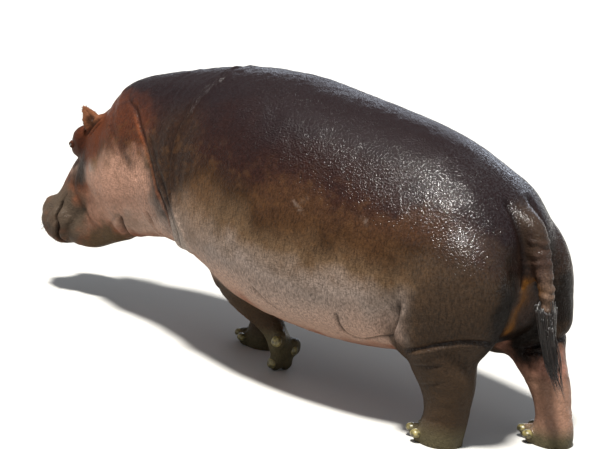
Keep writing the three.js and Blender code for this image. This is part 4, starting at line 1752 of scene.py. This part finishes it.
@dataclass(frozen=True)
class WetEye:
    """The wet eye: a dark brown iris round a wide pupil, and a brown white of the eye."""

    inner_iris: str = "4A2A14"
    outer_iris: str = "2A1710"
    white: str = "5C3F34"
    pupil: str = "050303"
    # As shares of the eye's radius. The pupil is wider than it is high.
    inner_at: float = 0.2
    outer_at: float = 0.62
    white_at: float = 0.66
    pupil_edge: tuple[float, float] = (0.13, 0.17)
    pupil_squeeze: float = 0.62
    fibres: float = 14.0

    def material(self) -> bpy.types.Material:
        """Make the material."""
        material, tree, shader = blank_material("wet_eye")
        place = add_node(tree, "Attribute", {"attribute_name": "iris_place"}).outputs["Vector"]
        parts = add_node(tree, "SeparateXYZ", None, Vector=place).outputs
        wide = add_node(
            tree, "Math", {"operation": "MULTIPLY"}, in_0=parts["X"], in_1=self.pupil_squeeze
        ).outputs[0]
        length = {"operation": "LENGTH"}
        flat = add_node(tree, "CombineXYZ", None, X=wide, Y=parts["Y"]).outputs[0]
        pupil = add_node(tree, "VectorMath", length, in_0=flat).outputs["Value"]
        disc = add_node(tree, "CombineXYZ", None, X=parts["X"], Y=parts["Y"]).outputs[0]
        radius = add_node(tree, "VectorMath", length, in_0=disc).outputs["Value"]
        fibres = add_node(
            tree, "TexNoise", None, Vector=place, Scale=self.fibres, Detail=4.0
        ).outputs["Fac"]
        rings = add_node(tree, "ValToRGB", None, Fac=radius)
        stops = rings.color_ramp.elements
        stops[0].position, stops[0].color = self.inner_at, linear(self.inner_iris)
        stops[1].position, stops[1].color = self.outer_at, linear(self.outer_iris)
        stops.new(self.white_at).color = linear(self.white)
        iris = add_node(
            tree, "Mix", {"data_type": "RGBA", "blend_type": "MULTIPLY"},
            in_0=0.5, in_6=rings.outputs[0], in_7=fibres,
        ).outputs[2]
        low, high = self.pupil_edge
        hole = add_node(tree, "MapRange", None, Value=pupil, From_Min=low, From_Max=high).outputs[0]
        colour = add_node(
            tree, "Mix", {"data_type": "RGBA"}, in_0=hole, in_6=linear(self.pupil), in_7=iris
        ).outputs[2]
        tree.links.new(colour, shader.inputs["Base Color"])
        shader.inputs["Roughness"].default_value = 0.12
        shader.inputs["Coat Weight"].default_value = 1.0
        shader.inputs["Coat Roughness"].default_value = 0.03
        return material


@dataclass(frozen=True)
class Eyes:
    """The two eyeballs, each a ball with a raised cornea that looks out between the lids."""

    around: int = 48
    rings: int = 32
    cornea_rise: float = 0.07
    cornea_edge: float = 0.8

    def build(self) -> None:
        """Make both eyes."""
        material = WetEye().material()
        for name, side in (("left", -1), ("right", 1)):
            add_piece(self._ball(name, side), f"eyeball_{name}", material, "eye", f"eye_{name}")

    def _ball(self, name: str, side: int) -> bpy.types.Mesh:
        """Make one eye's mesh, with the place round its iris kept for its material."""
        look, along, up = Lids(side).axes()
        turn = Matrix((along, up, look)).transposed()
        bm = bmesh.new()
        bmesh.ops.create_uvsphere(
            bm, u_segments=self.around, v_segments=self.rings, radius=EYE_RADIUS
        )
        layer = bm.verts.layers.float_vector.new("iris_place")
        for vert in bm.verts:
            share = vert.co / EYE_RADIUS
            vert[layer] = (share.x, share.y, share.z)
            ahead = max(0.0, (share.z - self.cornea_edge) / 0.2)
            vert.co *= 1.0 + self.cornea_rise * ahead**0.7
            vert.co = turn @ vert.co
            local = np.array(vert.co) + EYE_AT * [1.0, side, 1.0]
            vert.co = placed(head_to_body(local))
        bmesh.ops.recalc_face_normals(bm, faces=bm.faces)
        return mesh_of(bm, f"eyeball_{name}")


# ------------ nails


@dataclass(frozen=True)
class HoofHorn:
    """Worn wet nail horn: olive and yellowish, with fine ridges."""

    stain_mm: float = 1000.0 / 55.0
    ridge_mm: float = 5.0
    ridge_depth_mm: float = 2.0
    olive: str = "3A3522"
    yellow: str = "8C8050"

    def material(self) -> bpy.types.Material:
        """Make the material."""
        material, tree, shader = blank_material("hippopotamus_nail_horn")
        coords = add_node(tree, "TexCoord").outputs["Object"]
        stains = add_node(
            tree, "TexNoise", None, Vector=coords, Scale=1.0 / (self.stain_mm * MM), Detail=4.0
        ).outputs["Fac"]
        shades = add_node(tree, "ValToRGB", None, Fac=stains)
        stops = shades.color_ramp.elements
        stops[0].position, stops[0].color = 0.36, linear(self.olive)
        stops[1].position, stops[1].color = 0.66, linear(self.yellow)
        tree.links.new(shades.outputs[0], shader.inputs["Base Color"])
        ridges = add_node(
            tree, "TexNoise", None, Vector=coords, Scale=1.0 / (self.ridge_mm * MM), Detail=2.0
        ).outputs["Fac"]
        bump = add_node(
            tree, "Bump", None, Height=ridges, Strength=0.5, Distance=self.ridge_depth_mm * MM
        ).outputs[0]
        tree.links.new(bump, shader.inputs["Normal"])
        shader.inputs["Roughness"].default_value = 0.32
        return material


@dataclass(frozen=True)
class Nails:
    """The sixteen blunt nails, four on each foot, in millimetres."""

    clearance: float = 3.0
    around: int = 28
    rings: int = 18
    flare: float = 0.12
    bluntness: float = 0.8

    def build(self) -> None:
        """Make the nails of each foot as one piece."""
        material = HoofHorn().material()
        for leg in LEGS:
            foot = leg.replace("leg", "foot")
            bm = bmesh.new()
            for place in toes_of(leg):
                self._nail(bm, place)
            nodes = (f"{foot}_nail_{i}" for i in range(1, 5))
            name = f"nails_{foot}"
            add_piece(mesh_of(bm, name), name, material, "nail", *nodes)

    def _nail(self, bm: bmesh.types.BMesh, place: ToePlace) -> None:
        """Add one nail: a blunt shield, widest at its lower edge."""
        made = bmesh.ops.create_uvsphere(
            bm, u_segments=self.around, v_segments=self.rings, radius=1.0
        )["verts"]
        for vert in made:
            x, y, z = vert.co
            flare = 1.0 + self.flare * (0.5 - 0.5 * z)
            x = math.copysign(abs(x) ** self.bluntness, x) * flare
            y *= flare
            size = Vector((x * NAIL_SIZE[0], y * NAIL_SIZE[1], z * NAIL_SIZE[2]))
            vert.co = Vector(place.nail) + size
        bmesh.ops.transform(bm, matrix=toe_matrix(place), verts=made)
        level = self.clearance * MM
        for vert in made:
            vert.co.z = max(vert.co.z, level)


# ------------ hair


@dataclass(frozen=True)
class WetHair:
    """Coarse wet hair: near black, with a hard shine along each strand."""

    root: str = "0C0A0A"
    worn: str = "2A211C"
    shade_mm: float = 1000.0 / 90.0

    def material(self) -> bpy.types.Material:
        """Make the material."""
        material, tree, shader = blank_material("wet_coarse_hair")
        coords = add_node(tree, "TexCoord").outputs["Object"]
        shades = add_node(
            tree, "TexNoise", None, Vector=coords, Scale=1.0 / (self.shade_mm * MM), Detail=2.0
        ).outputs["Fac"]
        tones = add_node(tree, "ValToRGB", None, Fac=shades)
        stops = tones.color_ramp.elements
        stops[0].position, stops[0].color = 0.35, linear(self.root)
        stops[1].position, stops[1].color = 0.7, linear(self.worn)
        tree.links.new(tones.outputs[0], shader.inputs["Base Color"])
        shader.inputs["Roughness"].default_value = 0.28
        shader.inputs["Coat Weight"].default_value = 0.5
        shader.inputs["Coat Roughness"].default_value = 0.1
        return material


class Hair:
    """Gathers thin solid strands in one mesh."""

    SIDES = 4
    # Each strand's patch on the OFBake map, and any way that no strand follows.
    PATCH = 0.003
    ASKEW = (0.37, 0.61, 0.7)
    TAPER = 2.2
    THINNED = 0.9

    def __init__(self, name: str, seed: int) -> None:
        """Start with no strands."""
        self.name = name
        self.rng = np.random.default_rng(seed)
        self.bm = bmesh.new()
        self.uv = self.bm.loops.layers.uv.new("OFBake")
        self.plain: dict[int, bpy.types.Mesh] = {}

    def _plain(self, count: int) -> bpy.types.Mesh:
        """Give a plain strand of a number of rings, on which every strand of that length is made.

        Args:
            count: number of rings.

        Returns:
            A closed tube round Z whose rings lie 1 apart, from the root at 0.
        """
        if count in self.plain:
            return self.plain[count]
        bm = bmesh.new()
        bmesh.ops.create_circle(bm, segments=self.SIDES, radius=1.0, cap_ends=True)
        rim = bm.edges[:]
        for _ in range(count - 1):
            made = bmesh.ops.extrude_edge_only(bm, edges=rim)["geom"]
            rim = [e for e in made if isinstance(e, bmesh.types.BMEdge) and len(e.link_faces) == 1]
            verts = list({v for e in rim for v in e.verts})
            bmesh.ops.translate(bm, vec=(0, 0, 1.0), verts=verts)
        bmesh.ops.holes_fill(bm, edges=rim, sides=0)
        bmesh.ops.recalc_face_normals(bm, faces=bm.faces)
        uv = bm.loops.layers.uv.new("OFBake")
        for face in bm.faces:
            for loop, corner in zip(face.loops, ((0, 0), (1, 0), (1, 1), (0, 1)), strict=True):
                loop[uv].uv = (self.PATCH * corner[0], self.PATCH * corner[1])
        self.plain[count] = mesh_of(bm, "plain_strand")
        return self.plain[count]

    def strand(self, path: np.ndarray, radius: float, root_uv: tuple[float, float]) -> None:
        """Add one strand that tapers to its tip.

        Args:
            path: points from the root to the tip, in metres.
            radius: at the root, in metres.
            root_uv: place of the root on an unwrap of the skin.
        """
        count = len(path)
        ways = np.gradient(path, axis=0)
        ways /= np.linalg.norm(ways, axis=1)[:, None]
        aside = np.cross(ways, self.ASKEW)
        aside /= np.linalg.norm(aside, axis=1)[:, None]
        other = np.cross(ways, aside)
        taper = radius * (1.0 - np.linspace(0.0, 1.0, count) ** self.TAPER * self.THINNED)
        verts, faces = len(self.bm.verts), len(self.bm.faces)
        self.bm.from_mesh(self._plain(count))
        self.bm.verts.ensure_lookup_table()
        self.bm.faces.ensure_lookup_table()
        for vert in self.bm.verts[verts:]:
            i = round(vert.co.z)
            vert.co = path[i] + (aside[i] * vert.co.x + other[i] * vert.co.y) * taper[i]
        for face in self.bm.faces[faces:]:
            for loop in face.loops:
                loop[self.uv].uv += Vector(root_uv)

    def finish(self, material: bpy.types.Material, *nodes: str) -> bpy.types.Object:
        """Turn the strands into a piece of the animal.

        Args:
            material: what they are made of.
            nodes: the nodes that the piece stands for.

        Returns:
            The piece.
        """
        return add_piece(mesh_of(self.bm, self.name), self.name, material, "hair", *nodes)


@dataclass(frozen=True)
class TailTuft:
    """The brush of coarse wet hair round the end of the tail, in wet clumps that end in points.

    Lengths are in millimetres, and shares run from 0 at the first root to 1 at the last tip.
    """

    spine: tuple[tuple[float, float, float], ...] = (
        (1408, 0, 700), (1424, 0, 630), (1440, 0, 565), (1466, 0, 490), (1506, 0, 405),
        (1548, 0, 335), (1580, 0, 288),
    )
    spine_steps: int = 8
    clumps: int = 54
    strands_each: int = 11
    points_each: int = 13
    golden_turn: float = 0.618
    tail_radius: tuple[float, float] = (47.0, 24.0)
    root_depth: float = 3.0
    last_root: float = 0.36
    length: tuple[float, float] = (0.32, 0.72)
    bulge: float = 34.0
    swell: tuple[float, float] = (0.35, 1.0)
    tip_spread: float = 10.0
    sag: float = 45.0
    bend: float = 13.0
    clump_width: float = 6.5
    ripple: float = 2.4
    strand_radius: tuple[float, float] = (0.8, 1.6)

    def build(self) -> None:
        """Make the tuft."""
        hair = Hair("tail_hair", 11)
        rng = hair.rng
        spine = through(np.array(self.spine, float), self.spine_steps)
        run = np.concatenate([[0.0], np.cumsum(np.linalg.norm(np.diff(spine, axis=0), axis=1))])
        run /= run[-1]
        share = np.linspace(0.0, 1.0, self.points_each)
        for clump in range(self.clumps):
            turn = 2 * math.pi * self.golden_turn * clump + rng.uniform(-0.3, 0.3)
            start = self.last_root * rng.random() ** 0.8
            end = min(1.0, start + rng.uniform(*self.length))
            at = start + (end - start) * share
            middle = np.stack([np.interp(at, run, spine[:, k]) for k in range(3)], axis=-1)
            out = np.array([math.cos(turn), math.sin(turn), 0.3 * math.cos(turn)])
            first = np.interp(start, (0.0, self.last_root), self.tail_radius) - self.root_depth
            swell = rng.uniform(*self.swell) * self.bulge
            width = first * (1.0 - share) ** 2 + swell * 2.0 * share * (1.0 - share)
            width = width + self.tip_spread * share
            hang = np.array([0.0, 0.0, -1.0]) * rng.uniform(0.0, self.sag) * share[:, None] ** 2
            bends = rng.uniform(-1.0, 1.0, 3) * self.bend
            bends = bends * np.sin(share * rng.uniform(4.0, 7.0))[:, None]
            centre = middle + width[:, None] * out + hang + bends * share[:, None]
            root = (0.1 + 0.8 * (clump / self.clumps), 0.1 + 0.8 * start)
            for _ in range(self.strands_each):
                side = rng.normal(0.0, 1.0, 3) * self.clump_width
                loose = 0.9 - 0.75 * share**1.3
                ripple = rng.uniform(-1.0, 1.0, 3) * self.ripple
                waves = share * rng.uniform(7.0, 14.0) + rng.uniform(0.0, 6.0)
                ripple = ripple * np.sin(waves)[:, None]
                path = centre + side * loose[:, None] + ripple * share[:, None]
                kept = share * rng.uniform(0.7, 1.0)
                path = np.stack([np.interp(kept, share, path[:, k]) for k in range(3)], axis=-1)
                hair.strand(placed(path), rng.uniform(*self.strand_radius) * MM, root)
        hair.finish(WetHair().material(), "tail_tuft")


@dataclass(frozen=True)
class Bristles:
    """Stiff short bristles on the lips and a fringe along the ears, in millimetres."""

    lips: int = 150
    lip_length: tuple[float, float] = (14.0, 34.0)
    lip_radius: float = 0.55
    ears: int = 110
    ear_length: tuple[float, float] = (9.0, 20.0)
    ear_radius: float = 0.35
    root_depth: float = 2.0
    points_each: int = 5
    colour: str = "2A1C16"

    def build(self, hide: bpy.types.Object) -> None:
        """Set the bristles in the skin.

        Args:
            hide: the finished skin.
        """
        verts = [v.co for v in hide.data.vertices]
        tree = BVHTree.FromPolygons(verts, [p.vertices for p in hide.data.polygons])
        hair = Hair("bristles", 12)
        rng = hair.rng
        ear = EarShape()
        for side in SIDES:
            for _ in range(self.lips):
                x, y = rng.uniform(-720.0, -560.0), side * rng.uniform(20.0, 210.0)
                guess = np.array([x, y, rng.uniform(-150.0, 40.0)])
                self._set(hair, tree, guess, rng.uniform(*self.lip_length), self.lip_radius)
            way = (np.array(ear.tip) - np.array(ear.root)) * [1.0, side, 1.0]
            rings = ear.rings(side)
            for _ in range(self.ears):
                row = rings[rng.integers(6, len(rings) - 2)]
                edge = row[0] if rng.random() < 0.5 else row[ear.around // 2]
                guess = edge + rng.normal(0.0, 3.0, 3)
                self._set(hair, tree, guess, rng.uniform(*self.ear_length), self.ear_radius, way)
        hair.finish(WetHair(self.colour).material())

    def _set(
        self, hair: Hair, tree: BVHTree, guess: np.ndarray, length: float, radius: float,
        lean: np.ndarray | None = None,
    ) -> None:
        """Set one bristle where the skin comes nearest to a point of the head's frame.

        Args:
            hair: the strands.
            tree: finds places on the skin.
            guess: the point.
            length: the bristle's length.
            radius: its radius at the root.
            lean: which way it leans, if it doesn't stand straight out.
        """
        place, normal, _, _ = tree.find_nearest(Vector(placed(head_to_body(guess))))
        if place is None:
            return
        out = np.array(normal)
        if lean is not None:
            way = head_to_body(lean) - head_to_body(np.zeros(3))
            out = out * 0.7 + way / np.linalg.norm(way)
        out = out + hair.rng.normal(0.0, 0.22, 3) - [0.0, 0.0, 0.25]
        out /= np.linalg.norm(out)
        droop = np.array([0.0, 0.0, -0.3])
        share = np.linspace(0.0, 1.0, self.points_each)[:, None]
        path = (out * share + droop * share**2) * length * MM - out * self.root_depth * MM
        head = to_head(np.array(place)[None])[0]
        around = 0.5 + math.atan2(head[1], head[2]) / (2 * math.pi)
        along = min(max((head[0] + 740.0) / 1000.0, 0.0), 1.0)
        root_uv = (0.05 + 0.9 * around, 0.05 + 0.9 * along)
        hair.strand(np.array(place) + path, radius * MM, root_uv)


# ------------ the stage


@dataclass(frozen=True)
class Stage:
    """A plain pale floor, soft studio light and the camera. Angles are in degrees."""

    azimuth: float = 39.0
    elevation: float = 13.0
    roll: float = 6.5
    distance: float = 10.0
    sensor_mm: float = 36.0
    focal_mm: float = 2050.0 / 612.0 * 36.0
    view_end: float = 200.0
    target: tuple[float, float, float] = (0.0672, -0.0008, 0.7186)
    floor_half: float = 40.0
    floor_colour: str = "B6B4B0"
    sky_colour: str = "E8EEF5"
    sky_strength: float = 0.44
    sun_azimuth: float = 10.0
    sun_elevation: float = 72.0
    sun_spread: float = 7.0
    sun_strength: float = 7.8
    sun_colour: str = "FFFDF8"
    rim_at: tuple[float, float, float] = (-7.0, 12.0, 3.2)
    rim_from: tuple[float, float, float] = (-7.0, 12.0, 2.4)
    rim_size: tuple[float, float] = (10.0, 2.6)
    rim_watts: float = 280.0
    rim_colour: str = "E4EEFF"

    def build(self) -> None:
        """Make the floor, the lights and the camera."""
        self._floor()
        self._sky()
        self._sun()
        self._rim()
        self._camera()

    @staticmethod
    def _out(azimuth: float, elevation: float) -> Vector:
        """Give the way out from the animal at an azimuth and elevation."""
        a, e = math.radians(azimuth), math.radians(elevation)
        return Vector((math.sin(a) * math.cos(e), -math.cos(a) * math.cos(e), math.sin(e)))

    def _camera(self) -> None:
        """Make the camera and roll it, as if the animal stood on a slope."""
        data = bpy.data.cameras.new("camera")
        data.lens = self.focal_mm
        data.sensor_width = self.sensor_mm
        data.clip_end = self.view_end
        camera = linked("camera", data)
        a, r = math.radians(self.azimuth), math.radians(self.roll)
        back = self._out(self.azimuth, self.elevation)
        level = Vector((math.cos(a), math.sin(a), 0.0))
        above = back.cross(level)
        right = level * math.cos(r) + above * math.sin(r)
        up = above * math.cos(r) - level * math.sin(r)
        place = Matrix.Translation(Vector(self.target) + back * self.distance)
        camera.matrix_world = place @ Matrix((right, up, back)).transposed().to_4x4()
        bpy.context.scene.camera = camera

    def _floor(self) -> None:
        """Make the floor."""
        bm = bmesh.new()
        bmesh.ops.create_grid(bm, x_segments=1, y_segments=1, size=self.floor_half)
        floor = linked("floor", mesh_of(bm, "floor"))
        material, _, shader = blank_material("pale_floor_paint")
        shader.inputs["Base Color"].default_value = linear(self.floor_colour)
        shader.inputs["Roughness"].default_value = 0.85
        floor.data.materials.append(material)

    def _sky(self) -> None:
        """Make the soft light that comes from all round."""
        world = bpy.data.worlds.new("studio")
        bpy.context.scene.world = world
        world.use_nodes = True
        background = world.node_tree.nodes["Background"]
        background.inputs["Color"].default_value = linear(self.sky_colour)
        background.inputs["Strength"].default_value = self.sky_strength

    def _sun(self) -> None:
        """Make the key light, high above the animal's left side."""
        sun = bpy.data.lights.new("key_light", "SUN")
        sun.angle = math.radians(self.sun_spread)
        sun.energy = self.sun_strength
        sun.color = linear(self.sun_colour)[:3]
        light = linked("key_light", sun)
        back = self._out(self.sun_azimuth, self.sun_elevation)
        light.location = back * self.distance
        light.rotation_euler = back.to_track_quat("Z", "Y").to_euler()

    def _rim(self) -> None:
        """Make the wide light on the far side that shines along the ridge of the back."""
        rim = bpy.data.lights.new("rim_light", "AREA")
        rim.shape = "RECTANGLE"
        rim.size, rim.size_y = self.rim_size
        rim.energy = self.rim_watts
        rim.color = linear(self.rim_colour)[:3]
        light = linked("rim_light", rim)
        light.location = self.rim_at
        light.rotation_euler = Vector(self.rim_from).to_track_quat("Z", "Y").to_euler()


def main() -> None:
    """Build the animal and its stage, and note their sizes."""
    logging.basicConfig(level=logging.INFO, format="%(relativeCreated)6d %(name)s: %(message)s")
    bpy.context.scene.view_settings.view_transform = "Standard"
    Stage().build()
    hide = Hide().build()
    Eyes().build()
    Nails().build()
    TailTuft().build()
    Bristles().build(hide)


if __name__ == "__main__":
    main()
